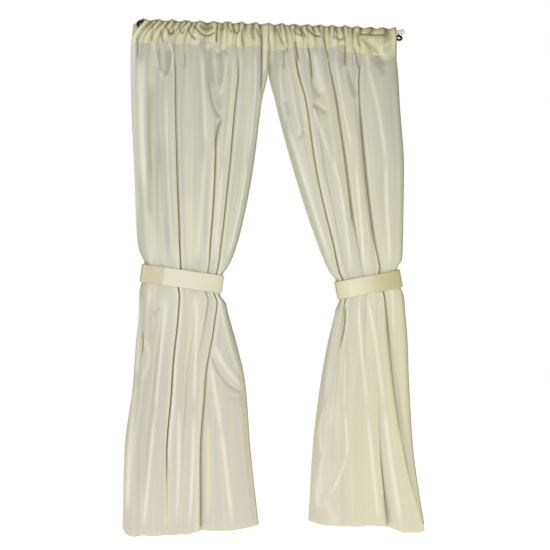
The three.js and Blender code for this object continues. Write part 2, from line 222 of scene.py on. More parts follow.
LEFT_FOLDS = tuple(Fold(*row) for row in (
    ("outer edge", 0, 0, 0, 0, 0, 0, 0.2, 0.2, 0.3, 0.4, 0.3, 0.3),
    ("outer turn", 0.03, 0.03, 0.035, 0.04, 0.03, 0.03, 0.6, 0.6, 0.64, 0.7, 0.6, 0.55),
    ("side ridge", 0.085, 0.09, 0.1, 0.11, 0.09, 0.09, 0.9, 0.92, 0.91, 0.91, 0.88, 0.85),
    ("side valley", 0.16, 0.165, 0.18, 0.2, 0.16, 0.15, 0.68, 0.66, 0.76, 0.86, 0.74, 0.74),
    ("broad ridge", 0.24, 0.26, 0.3, 0.35, 0.25, 0.23, 0.93, 0.93, 0.95, 0.95, 0.95, 0.92),
    ("first edge", 0.334, 0.356, 0.415, 0.464, 0.341, 0.325, 0.85, 0.85, 0.89, 0.93, 0.85, 0.8),
    ("first tuck", 0.293, 0.317, 0.38, 0.432, 0.315, 0.338, 0.64, 0.64, 0.69, 0.74, 0.66, 0.78),
    ("narrow ridge", 0.415, 0.43, 0.485, 0.54, 0.41, 0.385, 0.72, 0.72, 0.8, 0.88, 0.8, 0.82),
    ("narrow valley", 0.488, 0.497, 0.55, 0.615, 0.455, 0.425, 0.66, 0.66, 0.76, 0.86, 0.74, 0.76),
    ("middle ridge", 0.57, 0.577, 0.63, 0.7, 0.5, 0.465, 0.78, 0.8, 0.87, 0.93, 0.88, 0.88),
    ("second edge", 0.645, 0.673, 0.722, 0.808, 0.545, 0.497, 0.74, 0.82, 0.88, 0.93, 0.84, 0.84),
    ("second tuck", 0.665, 0.643, 0.692, 0.785, 0.56, 0.512, 0.74, 0.6, 0.69, 0.78, 0.82, 0.82),
    ("slim ridge", 0.725, 0.735, 0.775, 0.86, 0.59, 0.535, 0.72, 0.7, 0.8, 0.9, 0.83, 0.84),
    ("third edge", 0.792, 0.793, 0.83, 0.912, 0.633, 0.563, 0.8, 0.8, 0.86, 0.92, 0.85, 0.85),
    ("third tuck", 0.757, 0.758, 0.8, 0.895, 0.595, 0.525, 0.58, 0.58, 0.67, 0.76, 0.62, 0.55),
    ("inner ridge", 0.865, 0.865, 0.885, 0.953, 0.7, 0.65, 0.78, 0.78, 0.83, 0.88, 0.74, 0.7),
    ("skirt ridge", 0.925, 0.928, 0.94, 0.975, 0.81, 0.79, 0.84, 0.84, 0.85, 0.86, 0.86, 0.85),
    ("inner turn", 0.975, 0.975, 0.98, 0.99, 0.94, 0.935, 0.7, 0.7, 0.71, 0.72, 0.65, 0.6),
    ("inner edge", 1, 1, 1, 1, 1, 1, 0.55, 0.4, 0.4, 0.4, 0.38, 0.35),
))

RIGHT_FOLDS = tuple(Fold(*row) for row in (
    ("inner edge", 0, 0, 0, 0, 0, 0, 0.12, 0.3, 0.35, 0.4, 0.35, 0.3),
    ("inner turn", 0.05, 0.05, 0.05, 0.025, 0.05, 0.05, 0.75, 0.75, 0.75, 0.75, 0.65, 0.6),
    ("inner ridge", 0.14, 0.12, 0.1, 0.045, 0.1, 0.12, 0.86, 0.86, 0.86, 0.86, 0.85, 0.85),
    ("first edge", 0.227, 0.187, 0.16, 0.08, 0.15, 0.18, 0.8, 0.8, 0.84, 0.88, 0.82, 0.82),
    ("first tuck", 0.19, 0.152, 0.13, 0.06, 0.165, 0.2, 0.6, 0.6, 0.67, 0.74, 0.8, 0.81),
    ("slim ridge", 0.285, 0.25, 0.22, 0.165, 0.235, 0.26, 0.7, 0.7, 0.8, 0.9, 0.8, 0.82),
    ("slim valley", 0.33, 0.3, 0.275, 0.23, 0.285, 0.31, 0.64, 0.64, 0.75, 0.86, 0.74, 0.76),
    ("middle ridge", 0.4, 0.375, 0.347, 0.315, 0.36, 0.38, 0.85, 0.85, 0.9, 0.94, 0.9, 0.88),
    ("second edge", 0.472, 0.461, 0.435, 0.41, 0.44, 0.455, 0.8, 0.8, 0.87, 0.93, 0.86, 0.84),
    ("second tuck", 0.435, 0.425, 0.41, 0.395, 0.455, 0.47, 0.52, 0.52, 0.7, 0.86, 0.85, 0.84),
    ("narrow ridge", 0.545, 0.535, 0.505, 0.49, 0.51, 0.525, 0.7, 0.7, 0.8, 0.9, 0.84, 0.85),
    ("skirt ridge", 0.597, 0.576, 0.565, 0.565, 0.565, 0.59, 0.76, 0.76, 0.84, 0.92, 0.88, 0.9),
    ("skirt edge", 0.622, 0.601, 0.597, 0.605, 0.62, 0.65, 0.75, 0.75, 0.84, 0.92, 0.85, 0.85),
    ("skirt tuck", 0.634, 0.611, 0.61, 0.62, 0.632, 0.622, 0.7, 0.7, 0.8, 0.9, 0.82, 0.5),
    ("overlay ridge", 0.645, 0.621, 0.625, 0.643, 0.7, 0.78, 0.76, 0.78, 0.86, 0.92, 0.87, 0.85),
    ("third edge", 0.655, 0.631, 0.641, 0.665, 0.78, 0.965, 0.75, 0.75, 0.84, 0.93, 0.83, 0.8),
    ("third tuck", 0.617, 0.595, 0.606, 0.635, 0.731, 0.88, 0.52, 0.52, 0.59, 0.66, 0.5, 0.34),
    ("broad foot", 0.735, 0.72, 0.725, 0.745, 0.83, 0.93, 0.66, 0.66, 0.75, 0.84, 0.55, 0.26),
    ("broad ridge", 0.83, 0.825, 0.83, 0.845, 0.89, 0.965, 0.88, 0.9, 0.9, 0.9, 0.6, 0.2),
    ("outer turn", 0.955, 0.955, 0.955, 0.955, 0.965, 0.988, 0.78, 0.8, 0.79, 0.78, 0.45, 0.12),
    ("outer edge", 1, 1, 1, 1, 1, 1, 0.2, 0.2, 0.3, 0.45, 0.15, 0.06),
))

# Besides its ridge or trough, each crease paints its tint along its path: a painted highlight, painted shade,
# or yellow for doubled cloth and painted warm light.
PALE, SHADE, GOLD = Tint
LEFT_CREASES = tuple(Crease(*row) for row in (
    ("end facet", PALE, -503, 12, -513, 49, -527, 82, 6, 3, 0.5),
    ("end line", SHADE, -537, 42, -537, 98, -536, 147, 4, -3, 0.7),
    ("first fold", SHADE, -476, -5, -476, 40, -482, 84, 4, -4, 0.7),
    ("swag left head", PALE, -468, 19, -472, 64, -466, 117, 5, 3, 0.6),
    ("swag right head", PALE, -432, 2, -413, 62, -395, 127, 5, 4, 0.7),
    ("swag pocket", SHADE, -444, 22, -438, 55, -430, 87, 5, -4, 0.63),
    ("first loop", SHADE, -422, 5, -401, 45, -385, 8, 6, -6, 0.91),
    ("second loop", SHADE, -369, -5, -357, 40, -341, 3, 4, -4, 0.84),
    ("third loop", SHADE, -336, 6, -320, 43, -295, 66, 4, -5, 0.91),
    ("third facet", GOLD, -332, 23, -324, 59, -312, 83, 7, 0, 0.7),
    ("wide loop", SHADE, -320, -14, -267, 43, -214, 23, 5, -5, 0.95),
    ("wide hollow", SHADE, -292, -3, -259, 16, -222, 3, 11, -6, 0.7),
    ("wide band", GOLD, -287, 60, -255, 59, -218, 56, 9, 0, 0.5),
    ("centre fold", SHADE, -212, -14, -214, 31, -218, 84, 4, -4, 0.84),
    ("short loop", SHADE, -206, -6, -193, 18, -181, -7, 4, -4, 0.7),
    ("fourth loop", SHADE, -169, -11, -160, 21, -148, 33, 4, -4, 0.77),
    ("fifth loop", SHADE, -148, 0, -132, 32, -115, -1, 5, -5, 0.84),
    ("inner facet", PALE, -156, 21, -148, 41, -138, 65, 5, 2, 0.5),
    ("inner fold", SHADE, -111, 7, -110, 52, -100, 93, 4, -4, 0.84),
    ("inner loop", SHADE, -76, -6, -70, 26, -61, 63, 8, -4, 0.56),
    ("slant loop", SHADE, -55, -3, -45, 29, -30, 45, 4, -5, 0.84),
    ("edge line", SHADE, -29, -8, -29, 140, -31, 314, 4, -3, 0.95),
    ("edge strip", GOLD, -17, 0, -16, 90, -19, 190, 8, 0, 0.8),
    ("edge pale", PALE, -12, 41, -13, 123, -19, 206, 12, 0, 0.6),
    ("outer strip", PALE, -552, 2, -554, 380, -532, 960, 20, 0, 1.0),
    ("outer lobe", PALE, -522, 130, -522, 359, -508, 740, 30, 2, 0.75),
    ("outer gold", GOLD, -530, 163, -533, 359, -524, 738, 13, 0, 0.4),
    ("side valley", SHADE, -477, 227, -485, 419, -471, 717, 14, -4, 0.2),
    ("swag left", PALE, -466, 104, -453, 177, -429, 238, 7, 2.5, 0.6),
    ("swag right", PALE, -393, 102, -397, 176, -425, 238, 7, 2.5, 0.6),
    ("swag tail", PALE, -421, 226, -411, 581, -389, 986, 10, 2.5, 0.5),
    ("chest grey", SHADE, -436, 438, -418, 704, -401, 978, 75, 0, 0.14),
    ("warm chest", GOLD, -337, 682, -320, 846, -303, 994, 60, 0, 0.32),
    ("swag hollow left", SHADE, -452, 88, -450, 153, -442, 205, 12, -5, 0.22),
    ("swag hollow right", SHADE, -411, 86, -410, 160, -418, 229, 13, -6, 0.28),
    ("short nick", SHADE, -344, 109, -344, 150, -348, 187, 4, -3, 0.4),
    ("middle light", PALE, -279, 90, -266, 291, -256, 525, 10, 2.5, 0.65),
    ("middle low light", PALE, -256, 476, -276, 743, -291, 998, 10, 2.5, 0.4),
    ("slim gold", GOLD, -191, 359, -202, 639, -221, 960, 12, 0, 0.5),
    ("second lap grey", SHADE, -244, 516, -249, 722, -256, 948, 20, 0, 0.12),
    ("top pale", PALE, -94, 150, -85, 307, -112, 514, 60, 0, 0.15),
    ("olive line", GOLD, -290, 251, -293, 435, -288, 620, 5, 0, 0.4),
    ("drape head", SHADE, -275, 49, -267, 86, -254, 131, 20, 0, 0.22),
    ("second lap head", SHADE, -189, 384, -210, 434, -217, 512, 6, -3, 0.8),
    ("drape hollow", SHADE, -244, 81, -244, 155, -241, 262, 16, -6, 0.3),
    ("drape groove", SHADE, -250, 196, -231, 319, -191, 392, 7, -5, 0.4),
    ("drape shade", SHADE, -234, 120, -222, 240, -199, 352, 18, -3, 0.12),
    ("vee hollow", SHADE, -201, 104, -201, 170, -200, 252, 14, -4, 0.2),
    ("vee right", PALE, -172, 112, -180, 202, -206, 302, 7, 2.5, 0.5),
    ("vee left", PALE, -219, 125, -219, 203, -206, 298, 6, 2, 0.45),
    ("seam hollow", SHADE, -217, 125, -197, 112, -172, 99, 10, -5, 0.3),
    ("narrow light", PALE, -142, 86, -157, 329, -186, 589, 7, 2.5, 0.5),
    ("narrow low light", PALE, -186, 548, -204, 762, -221, 989, 7, 2.5, 0.5),
    ("side light", PALE, -113, 93, -120, 275, -147, 589, 9, 2, 0.5),
    ("inner gold", GOLD, -86, 134, -84, 348, -112, 605, 11, 0, 0.4),
    ("inner low gold", GOLD, -124, 588, -148, 795, -180, 985, 9, 0, 0.45),
    ("inner light", PALE, -61, 92, -56, 286, -83, 563, 7, 2.5, 0.65),
    ("inner low light", PALE, -87, 555, -111, 728, -167, 985, 7, 2.5, 0.6),
    ("tan streak", GOLD, -447, 541, -447, 745, -438, 986, 7, 2, 0.35),
    ("tie lobe", PALE, -495, 766, -475, 856, -474, 1003, 16, 3, 0.5),
    ("foot lobe", PALE, -482, 1077, -482, 1118, -490, 1155, 14, 2.5, 0.35),
    ("foot nick", SHADE, -437, 1159, -457, 1183, -485, 1212, 8, -4, 0.25),
    ("warm foot", GOLD, -307, 1093, -289, 1216, -285, 1381, 45, 0, 0.25),
    ("skirt grey", SHADE, -441, 1134, -480, 1544, -518, 2016, 70, 0, 0.09),
    ("skirt light", PALE, -409, 1077, -440, 1389, -459, 1602, 10, 2.5, 0.65),
    ("skirt low light", PALE, -459, 1569, -482, 1832, -505, 2087, 10, 2.5, 0.65),
    ("outer shin", PALE, -526, 1105, -529, 1290, -538, 1480, 13, 0, 0.9),
    ("edge nick", SHADE, -512, 1257, -510, 1306, -512, 1364, 4, -4, 0.8),
    ("edge curl", PALE, -509, 1282, -484, 1372, -520, 1470, 10, 2.5, 0.45),
    ("outer skirt", PALE, -533, 1413, -560, 1708, -572, 2052, 14, 1.5, 0.8),
    ("outer line", GOLD, -524, 1474, -546, 1646, -563, 1974, 5, 2, 0.5),
    ("gold line", GOLD, -319, 1117, -324, 1340, -329, 1562, 6, 0, 0.45),
    ("pleat light", PALE, -294, 1084, -293, 1319, -300, 1604, 9, 2.5, 0.55),
    ("pleat low light", PALE, -300, 1571, -305, 1835, -318, 2087, 9, 2.5, 0.6),
    ("third low gold", GOLD, -246, 1608, -241, 1836, -244, 2072, 13, 0, 0.7),
    ("first low gold", GOLD, -409, 1825, -408, 1957, -412, 2093, 15, 0, 0.55),
    ("strip low light", PALE, -363, 1558, -362, 1793, -369, 2090, 9, 2.5, 0.55),
    ("second low gold", GOLD, -344, 1801, -345, 1938, -351, 2070, 6, 0, 0.45),
    ("skirt swag", SHADE, -240, 1344, -177, 1468, -82, 1523, 8, -5, 0.3),
    ("skirt swag rim", PALE, -219, 1307, -173, 1406, -86, 1506, 11, 3, 0.55),
    ("skirt fan", PALE, -197, 1125, -153, 1315, -94, 1481, 9, 2, 0.4),
    ("fan gold", GOLD, -204, 1117, -191, 1183, -174, 1249, 5, 0, 0.55),
    ("inner skirt light", PALE, -239, 1381, -210, 1526, -188, 1680, 10, 2.5, 0.6),
    ("inner hem light", PALE, -188, 1655, -165, 1837, -136, 2087, 10, 2.5, 0.65),
    ("under swag", SHADE, -164, 1531, -127, 1543, -81, 1540, 10, -3, 0.14),
))

# These creases paint the same tints: painted highlights, painted shade and yellow.
RIGHT_CREASES = tuple(Crease(*row) for row in (
    ("edge strip", GOLD, 8, -1, 8, 81, 9, 164, 9, 0, 0.7),
    ("edge pale", PALE, 8, 40, 8, 106, 8, 164, 12, 0, 0.6),
    ("start loop", SHADE, 27, -6, 44, 39, 59, 76, 4, -5, 0.84),
    ("deep loop", SHADE, 59, 51, 70, 100, 80, 71, 4, -4, 0.7),
    ("upright fold", SHADE, 71, -7, 74, 38, 76, 79, 4, -3, 0.56),
    ("slant loop", SHADE, 92, -4, 117, 26, 147, 31, 4, -5, 0.84),
    ("second slant", SHADE, 105, -8, 138, 15, 159, 48, 4, -5, 0.84),
    ("long curve", PALE, 105, 16, 145, 60, 170, 151, 5, 4, 0.6),
    ("first start", SHADE, 111, 49, 116, 90, 126, 148, 4, -4, 0.95),
    ("third slant", SHADE, 155, -10, 184, 26, 222, 33, 5, -6, 0.95),
    ("second start", SHADE, 220, -4, 233, 54, 252, 140, 4, -4, 0.95),
    ("second facet", GOLD, 237, 45, 248, 74, 265, 119, 6, 0, 0.6),
    ("upper nick", SHADE, 271, -6, 271, 19, 273, 48, 4, -4, 0.84),
    ("dark loop", SHADE, 272, 15, 298, 43, 327, 21, 8, -5, 0.56),
    ("dark wedge", SHADE, 302, 51, 309, 97, 313, 155, 14, -4, 0.3),
    ("bright facet", GOLD, 345, 58, 343, 83, 343, 112, 10, 0, 0.7),
    ("facet line", PALE, 340, 29, 334, 54, 328, 84, 4, 2, 0.5),
    ("fourth fold", SHADE, 365, -1, 376, 41, 387, 74, 4, -5, 0.84),
    ("third start", SHADE, 353, 66, 368, 112, 377, 170, 4, -4, 0.7),
    ("rod groove", SHADE, 365, 18, 433, 18, 506, 20, 5, -6, 0.91),
    ("heading swag", SHADE, 391, 24, 447, 88, 490, 158, 17, -8, 0.35),
    ("swag mouth", SHADE, 374, 32, 412, 52, 459, 92, 14, -2, 0.35),
    ("swag foot", SHADE, 430, 110, 460, 142, 494, 196, 18, -3, 0.22),
    ("swag rim", PALE, 459, 92, 489, 108, 523, 115, 14, 0, 0.5),
    ("swag light", PALE, 384, 20, 397, 48, 412, 77, 6, 3, 0.6),
    ("end rim", PALE, 516, 28, 497, 53, 463, 75, 5, 4, 0.5),
    ("swag patch", PALE, 413, 94, 417, 123, 424, 160, 10, 2, 0.55),
    ("end facet", GOLD, 459, 84, 493, 91, 528, 98, 8, 0, 0.6),
    ("top pale", PALE, 88, 75, 114, 219, 145, 426, 60, 0, 0.15),
    ("inner light", PALE, 57, 105, 50, 262, 78, 419, 7, 2.5, 0.5),
    ("inner long light", PALE, 74, 394, 150, 625, 284, 1036, 10, 2.5, 0.6),
    ("second light", PALE, 80, 129, 102, 282, 149, 500, 9, 2.5, 0.5),
    ("edge light", PALE, 131, 177, 150, 301, 168, 434, 7, 2, 0.5),
    ("inner nick", SHADE, 61, 84, 62, 129, 62, 183, 4, -4, 0.6),
    ("inner dimple", SHADE, 63, 303, 73, 324, 86, 373, 7, -3, 0.15),
    ("low dimple", SHADE, 149, 422, 141, 442, 128, 464, 8, -3, 0.18),
    ("heading nick", SHADE, 159, 56, 175, 142, 183, 234, 4, -4, 0.95),
    ("upper wedge", SHADE, 179, 209, 194, 254, 219, 287, 9, -4, 0.25),
    ("wedge light", PALE, 193, 85, 204, 180, 232, 280, 16, 2.5, 0.6),
    ("vee wedge", SHADE, 182, 315, 211, 329, 245, 355, 10, -5, 0.28),
    ("vee light", PALE, 184, 325, 216, 403, 267, 556, 9, 3, 0.55),
    ("strip light", PALE, 263, 523, 311, 714, 357, 1052, 10, 2.5, 0.6),
    ("third gold", GOLD, 234, 615, 269, 744, 292, 902, 5, 2, 0.6),
    ("second strip light", PALE, 275, 98, 304, 276, 360, 546, 9, 2.5, 0.5),
    ("second low light", PALE, 364, 525, 388, 776, 408, 1035, 10, 2.5, 0.6),
    ("short nick", SHADE, 319, 59, 320, 105, 320, 163, 4, -4, 0.95),
    ("broad vee", SHADE, 326, 155, 346, 221, 367, 287, 12, -5, 0.25),
    ("second lap shade", SHADE, 255, 140, 322, 547, 359, 864, 7, 0, 0.9),
    ("third lap shade", SHADE, 377, 253, 414, 629, 459, 955, 11, 0, 0.85),
    ("warm strip", GOLD, 223, 112, 335, 568, 415, 972, 80, 0, 0.5),
    ("broad light", PALE, 409, 136, 452, 293, 496, 557, 12, 3, 0.55),
    ("broad low light", PALE, 496, 536, 498, 732, 522, 993, 11, 2.5, 0.5),
    ("outer gold", GOLD, 515, 208, 543, 459, 551, 845, 11, 0, 0.45),
    ("inner skirt light", PALE, 306, 1132, 273, 1321, 241, 1593, 9, 2.5, 0.6),
    ("tie slit", SHADE, 326, 1145, 325, 1237, 303, 1350, 4, -5, 0.9),
    ("slit light", PALE, 334, 1150, 334, 1240, 315, 1345, 5, 2, 0.4),
    ("fold gold", GOLD, 332, 1191, 354, 1363, 385, 1594, 5, 2, 0.6),
    ("low fold gold", GOLD, 381, 1569, 390, 1678, 400, 1822, 8, 0, 0.45),
    ("pale thread", PALE, 331, 1359, 329, 1476, 328, 1598, 9, 2, 0.4),
    ("tan streak", GOLD, 299, 1392, 287, 1488, 279, 1593, 6, 2, 0.4),
    ("skirt line", PALE, 383, 1124, 396, 1321, 428, 1603, 9, 2.5, 0.6),
    ("skirt low line", PALE, 424, 1578, 451, 1848, 479, 2089, 9, 2.5, 0.6),
    ("second line", PALE, 417, 1107, 460, 1321, 496, 1595, 10, 2.5, 0.6),
    ("second low line", PALE, 496, 1570, 528, 1815, 578, 2104, 10, 2.5, 0.65),
    ("gold line", GOLD, 435, 1300, 451, 1460, 462, 1582, 5, 2, 0.5),
    ("third foot shade", SHADE, 496, 1115, 532, 1461, 583, 1757, 13, 0, 0.5),
    ("third low shade", SHADE, 579, 1731, 601, 1833, 633, 1970, 12, 0, 0.3),
    ("skirt foot shade", SHADE, 495, 1925, 507, 2035, 520, 2137, 9, 0, 0.6),
    ("outer patch", PALE, 532, 1081, 532, 1165, 537, 1267, 11, 2, 0.35),
    ("outer edge gold", GOLD, 580, 1182, 598, 1406, 612, 1588, 7, 0, 0.5),
    ("bowl left", PALE, 250, 1576, 225, 1676, 238, 1794, 7, 2.5, 0.55),
    ("bowl left foot", PALE, 238, 1769, 226, 1878, 239, 1962, 7, 2.5, 0.55),
    ("bowl right", PALE, 326, 1585, 339, 1703, 336, 1812, 7, 2.5, 0.55),
    ("bowl right foot", PALE, 338, 1787, 307, 1875, 256, 1962, 7, 2.5, 0.55),
    ("bowl patch", PALE, 235, 1953, 269, 2013, 304, 2077, 18, 1.5, 0.3),
    ("bowl pale", PALE, 234, 1844, 218, 1928, 227, 2020, 16, 1, 0.5),
    ("bowl wide", PALE, 279, 1509, 251, 1761, 236, 2021, 60, 0, 0.15),
    ("bowl", SHADE, 279, 1627, 280, 1719, 277, 1828, 22, -3, 0.06),
    ("low gold", GOLD, 361, 1771, 366, 1910, 363, 2065, 22, 0, 0.35),
    ("overlay gold", GOLD, 484, 1713, 503, 1870, 530, 2052, 8, 0, 0.45),
    ("overlay low gold", GOLD, 580, 1850, 607, 1978, 634, 2089, 14, 0, 0.4),
))

LEFT_PLEATS = tuple(Pleat(*row) for row in (
    (0.02, 7.6), (0.075, 9.5), (0.12, 6.6), (0.165, 9.5), (0.215, 9.5), (0.27, 6.6), (0.31, 9.5),
    (0.36, 7.6), (0.395, 9.5), (0.43, 5.7), (0.57, 5.7), (0.6, 9.5), (0.645, 7.6), (0.685, 9.5),
    (0.735, 7.6), (0.78, 9.5), (0.84, 5.7), (0.9, 9.5), (0.96, 7.6),
))
RIGHT_PLEATS = tuple(Pleat(*row) for row in (
    (0.02, 5.7), (0.07, 7.6), (0.1, 9.5), (0.14, 7.6), (0.18, 9.5), (0.23, 5.7), (0.27, 7.6),
    (0.32, 7.6), (0.365, 9.5), (0.41, 7.6), (0.45, 9.5), (0.49, 5.7), (0.55, 7.6), (0.6, 9.5),
    (0.635, 9.5), (0.68, 5.7), (0.76, 1.1), (0.86, 0.8), (0.98, 4.8),
))

LEFT_ROWS = tuple(RowSpan(*row) for row in (
    (1560, 22), (1330, 9), (1140, 18), (980, 13), (420, 22), (92, 7),
))
RIGHT_ROWS = tuple(RowSpan(*row) for row in (
    (1960, 16), (1560, 13), (1140, 20), (990, 13), (480, 22), (92, 7.5),
))

LEFT_SEAM = tuple(SeamPoint(*row) for row in (
    (-566, 90), (-524, 89), (-474, 85), (-428, 89), (-422, 80), (-379, 84), (-342, 83), (-294, 86),
    (-283, 72), (-224, 74), (-219, 92), (-168, 92), (-158, 78), (-136, 80), (-110, 95), (-93, 91),
    (-66, 81), (-33, 88), (-4, 106),
))
RIGHT_SEAM = tuple(SeamPoint(*row) for row in (
    (4, 105), (64, 97), (116, 82), (161, 87), (222, 78), (241, 84), (288, 72), (296, 90), (322, 97),
    (368, 97), (445, 105), (523, 112), (540, 112),
))


def linear(red: float, green: float, blue: float) -> tuple[float, float, float, float]:
    """Turns a colour as seen on a screen into the linear colour that a shader takes.

    Args:
        red: Red share from 0 to 1.
        green: Green share from 0 to 1.
        blue: Blue share from 0 to 1.

    Returns:
        The linear colour with full cover.
    """
    seen = np.array([red, green, blue])
    out = np.where(seen <= 0.04045, seen / 12.92, ((seen + 0.055) / 1.055) ** 2.4)
    return (float(out[0]), float(out[1]), float(out[2]), 1.0)


def ease(low: float, high: float, at: np.ndarray) -> np.ndarray:
    """Rises smoothly from 0 at low to 1 at high: s squared times (3 - 2 s), of the share s in between."""
    s = np.clip((at - low) / (high - low), 0.0, 1.0)
    return s * s * (3.0 - 2.0 * s)


class SteadyCurve:
    """Smooth curves through knots that never swing past them.

    A knot's slope is the harmonic mean of the chords on its two sides, or zero where they turn.
    """

    def __init__(self, knots: np.ndarray, values: np.ndarray) -> None:
        """Fits the curves.

        Args:
            knots: The rising places of the knots.
            values: One row of values for each knot, a column for each curve.
        """
        self.knots = np.asarray(knots, float)
        self.values = np.asarray(values, float)
        self.chords = np.diff(self.values, axis=0) / np.diff(self.knots)[:, None]
        before = np.concatenate([self.chords[:1], self.chords])
        after = np.concatenate([self.chords, self.chords[-1:]])
        steady = before * after > 0
        self.slopes = np.where(steady, 2 * before * after / np.where(steady, before + after, 1.0), 0.0)

    def at(self, places: np.ndarray) -> np.ndarray:
        """Finds all curves at some places.

        Args:
            places: The places, in the knots' measure.

        Returns:
            One row for each place, a column for each curve.
        """
        k = np.clip(np.searchsorted(self.knots, places, side="right") - 1, 0, len(self.knots) - 2)
        span = (self.knots[k + 1] - self.knots[k])[:, None]
        s = (places - self.knots[k])[:, None] / span
        bend = (1 - s) * (self.slopes[k] - self.chords[k]) + s * (self.chords[k] - self.slopes[k + 1])
        return self.values[k] * (1 - s) + self.values[k + 1] * s + s * (1 - s) * span * bend


def rows_through(points: np.ndarray, soft: np.ndarray, steps: np.ndarray) -> np.ndarray:
    """Runs a smooth curve through each row of fold points.

    Each stretch is a cubic whose end slopes are the centripetal mean of the chords beside the point, times
    the point's softness, so that a small softness leaves a crisp turn.

    Args:
        points: Fold points, as rows by folds by 3.
        soft: The softness of each fold.
        steps: Mesh columns from each fold to the next.

    Returns:
        Points, as rows by columns by 3.
    """
    first = 2 * points[:, :1] - points[:, 1:2]
    last = 2 * points[:, -1:] - points[:, -2:-1]
    chain = np.concatenate([first, points, last], axis=1)
    step = np.diff(chain, axis=1)
    gap = np.maximum(np.linalg.norm(step, axis=2, keepdims=True), 1e-6) ** 0.5
    wide = (chain[:, 2:] - chain[:, :-2]) / (gap[:, 1:] + gap[:, :-1])
    slope = (step[:, :-1] / gap[:, :-1] - wide + step[:, 1:] / gap[:, 1:]) * soft[None, :, None]
    k, s = stretches(steps)
    s = s[None, :, None]
    leave, arrive = (slope[:, :-1] * gap[:, 1:-1])[:, k], (slope[:, 1:] * gap[:, 1:-1])[:, k]
    start, end = points[:, k], points[:, k + 1]
    curve = start + s * leave + s**2 * (3 * (end - start) - 2 * leave - arrive)
    curve = curve + s**3 * (2 * (start - end) + leave + arrive)
    return np.concatenate([curve, points[:, -1:]], axis=1)


def stretches(steps: np.ndarray) -> tuple[np.ndarray, np.ndarray]:
    """Gives the fold before each column of a row but the last, and its share of the way to the next fold."""
    k = np.repeat(np.arange(len(steps)), steps)
    return k, (np.arange(len(k)) - (np.cumsum(steps) - steps)[k]) / steps[k]


def crease_field(
    x: np.ndarray, drop: np.ndarray, creases: tuple[Crease, ...]
) -> tuple[np.ndarray, dict[Tint, np.ndarray]]:
    """Adds up how far the creases push the cloth to the viewer, and finds where each painted tint lies.

    A crease is its height times exp(-(distance from its path / width) squared), tapered at both ends. Its
    path is the parabola through its three points, taken as short straight steps. A tint is the strongest of
    its creases' lines, each the same bell over a share of the width.

    Args:
        x: Places along the rod.
        drop: Places below the rod, in the shape of x.
        creases: The creases.

    Returns:
        The push in millimetres, and a mask for each tint.
    """
    push, tints = np.zeros_like(x), {tint: np.zeros_like(x) for tint in Tint}
    s = np.linspace(0, 1, PATH_STEPS + 1)[:, None]
    for crease in creases:
        start = np.array([crease.start_x, crease.start_drop])
        middle = np.array([crease.middle_x, crease.middle_drop])
        end = np.array([crease.end_x, crease.end_drop])
        pull = 2 * middle - (start + end) / 2
        path = (1 - s) ** 2 * start + 2 * s * (1 - s) * pull + s**2 * end
        margin = BELL_WIDTHS * crease.width
        low, high = path.min(axis=0) - margin, path.max(axis=0) + margin
        near = (x > low[0]) & (x < high[0]) & (drop > low[1]) & (drop < high[1])
        spots = np.stack([x[near], drop[near]], axis=-1)[:, None]
        step = np.diff(path, axis=0)
        along = np.sum((spots - path[:-1]) * step, axis=-1) / np.sum(step * step, axis=-1)
        along = np.clip(along, 0, 1)
        away = np.linalg.norm(spots - path[:-1] - along[..., None] * step, axis=-1)
        nearest = away.argmin(axis=1)
        pick = np.arange(len(nearest))
        place = (nearest + along[pick, nearest]) / len(step)
        taper = ease(0, TAPER_SHARE, place) * ease(1, 1 - TAPER_SHARE, place)
        share = away[pick, nearest] / crease.width
        push[near] += crease.height * taper * np.exp(-(share**2))
        line = crease.strength * taper * np.exp(-((share / LINE_SHARE) ** 2))
        tints[crease.tint][near] = np.maximum(tints[crease.tint][near], line)
    return push, tints


def grid_faces(rows: int, columns: int, wrap_rows: bool = False, wrap_columns: bool = False) -> np.ndarray:
    """Lists the four-cornered faces of a grid of points.

    Args:
        rows: Points in one direction.
        columns: Points in the other direction.
        wrap_rows: Whether the last row joins the first.
        wrap_columns: Whether the last column joins the first.

    Returns:
        Four point numbers for each face.
    """
    j, i = np.meshgrid(
        np.arange(rows if wrap_rows else rows - 1),
        np.arange(columns if wrap_columns else columns - 1),
        indexing="ij",
    )
    after_j, after_i = (j + 1) % rows, (i + 1) % columns
    corners = [j * columns + i, j * columns + after_i, after_j * columns + after_i, after_j * columns + i]
    return np.stack(corners, axis=-1).reshape(-1, 4)


def make_piece(name: str, points: np.ndarray, faces: np.ndarray | list[list[int]]) -> bpy.types.Object:
    """Makes a smooth mesh object at the origin.

    Args:
        name: The piece's name.
        points: Points in millimetres, in any grid shape.
        faces: Point numbers of the faces.

    Returns:
        The new object.
    """
    mesh = bpy.data.meshes.new(name)
    mesh.from_pydata(points.reshape(-1, 3) * MM, [], faces)
    mesh.polygons.foreach_set("use_smooth", np.ones(len(mesh.polygons), dtype=bool))
    mesh.update()
    piece = bpy.data.objects.new(name, mesh)
    bpy.context.collection.objects.link(piece)
    return piece


def add_uv(piece: bpy.types.Object, uv: np.ndarray) -> None:
    """Lays a UV map on a mesh from one pair of numbers for each point.

    Args:
        piece: The mesh object.
        uv: Two numbers for each point.
    """
    mesh = piece.data
    corners = np.empty(len(mesh.loops), dtype=np.int32)
    mesh.loops.foreach_get("vertex_index", corners)
    layer = mesh.uv_layers.new(name="flat")
    layer.data.foreach_set("uv", uv.reshape(-1, 2)[corners].astype(np.float32).ravel())


def add_mask(piece: bpy.types.Object, name: str, values: np.ndarray) -> None:
    """Stores a number for each point of a mesh, given in any grid shape, for its material."""
    attribute = piece.data.attributes.new(name, "FLOAT", "POINT")
    attribute.data.foreach_set("value", values.astype(np.float32).ravel())


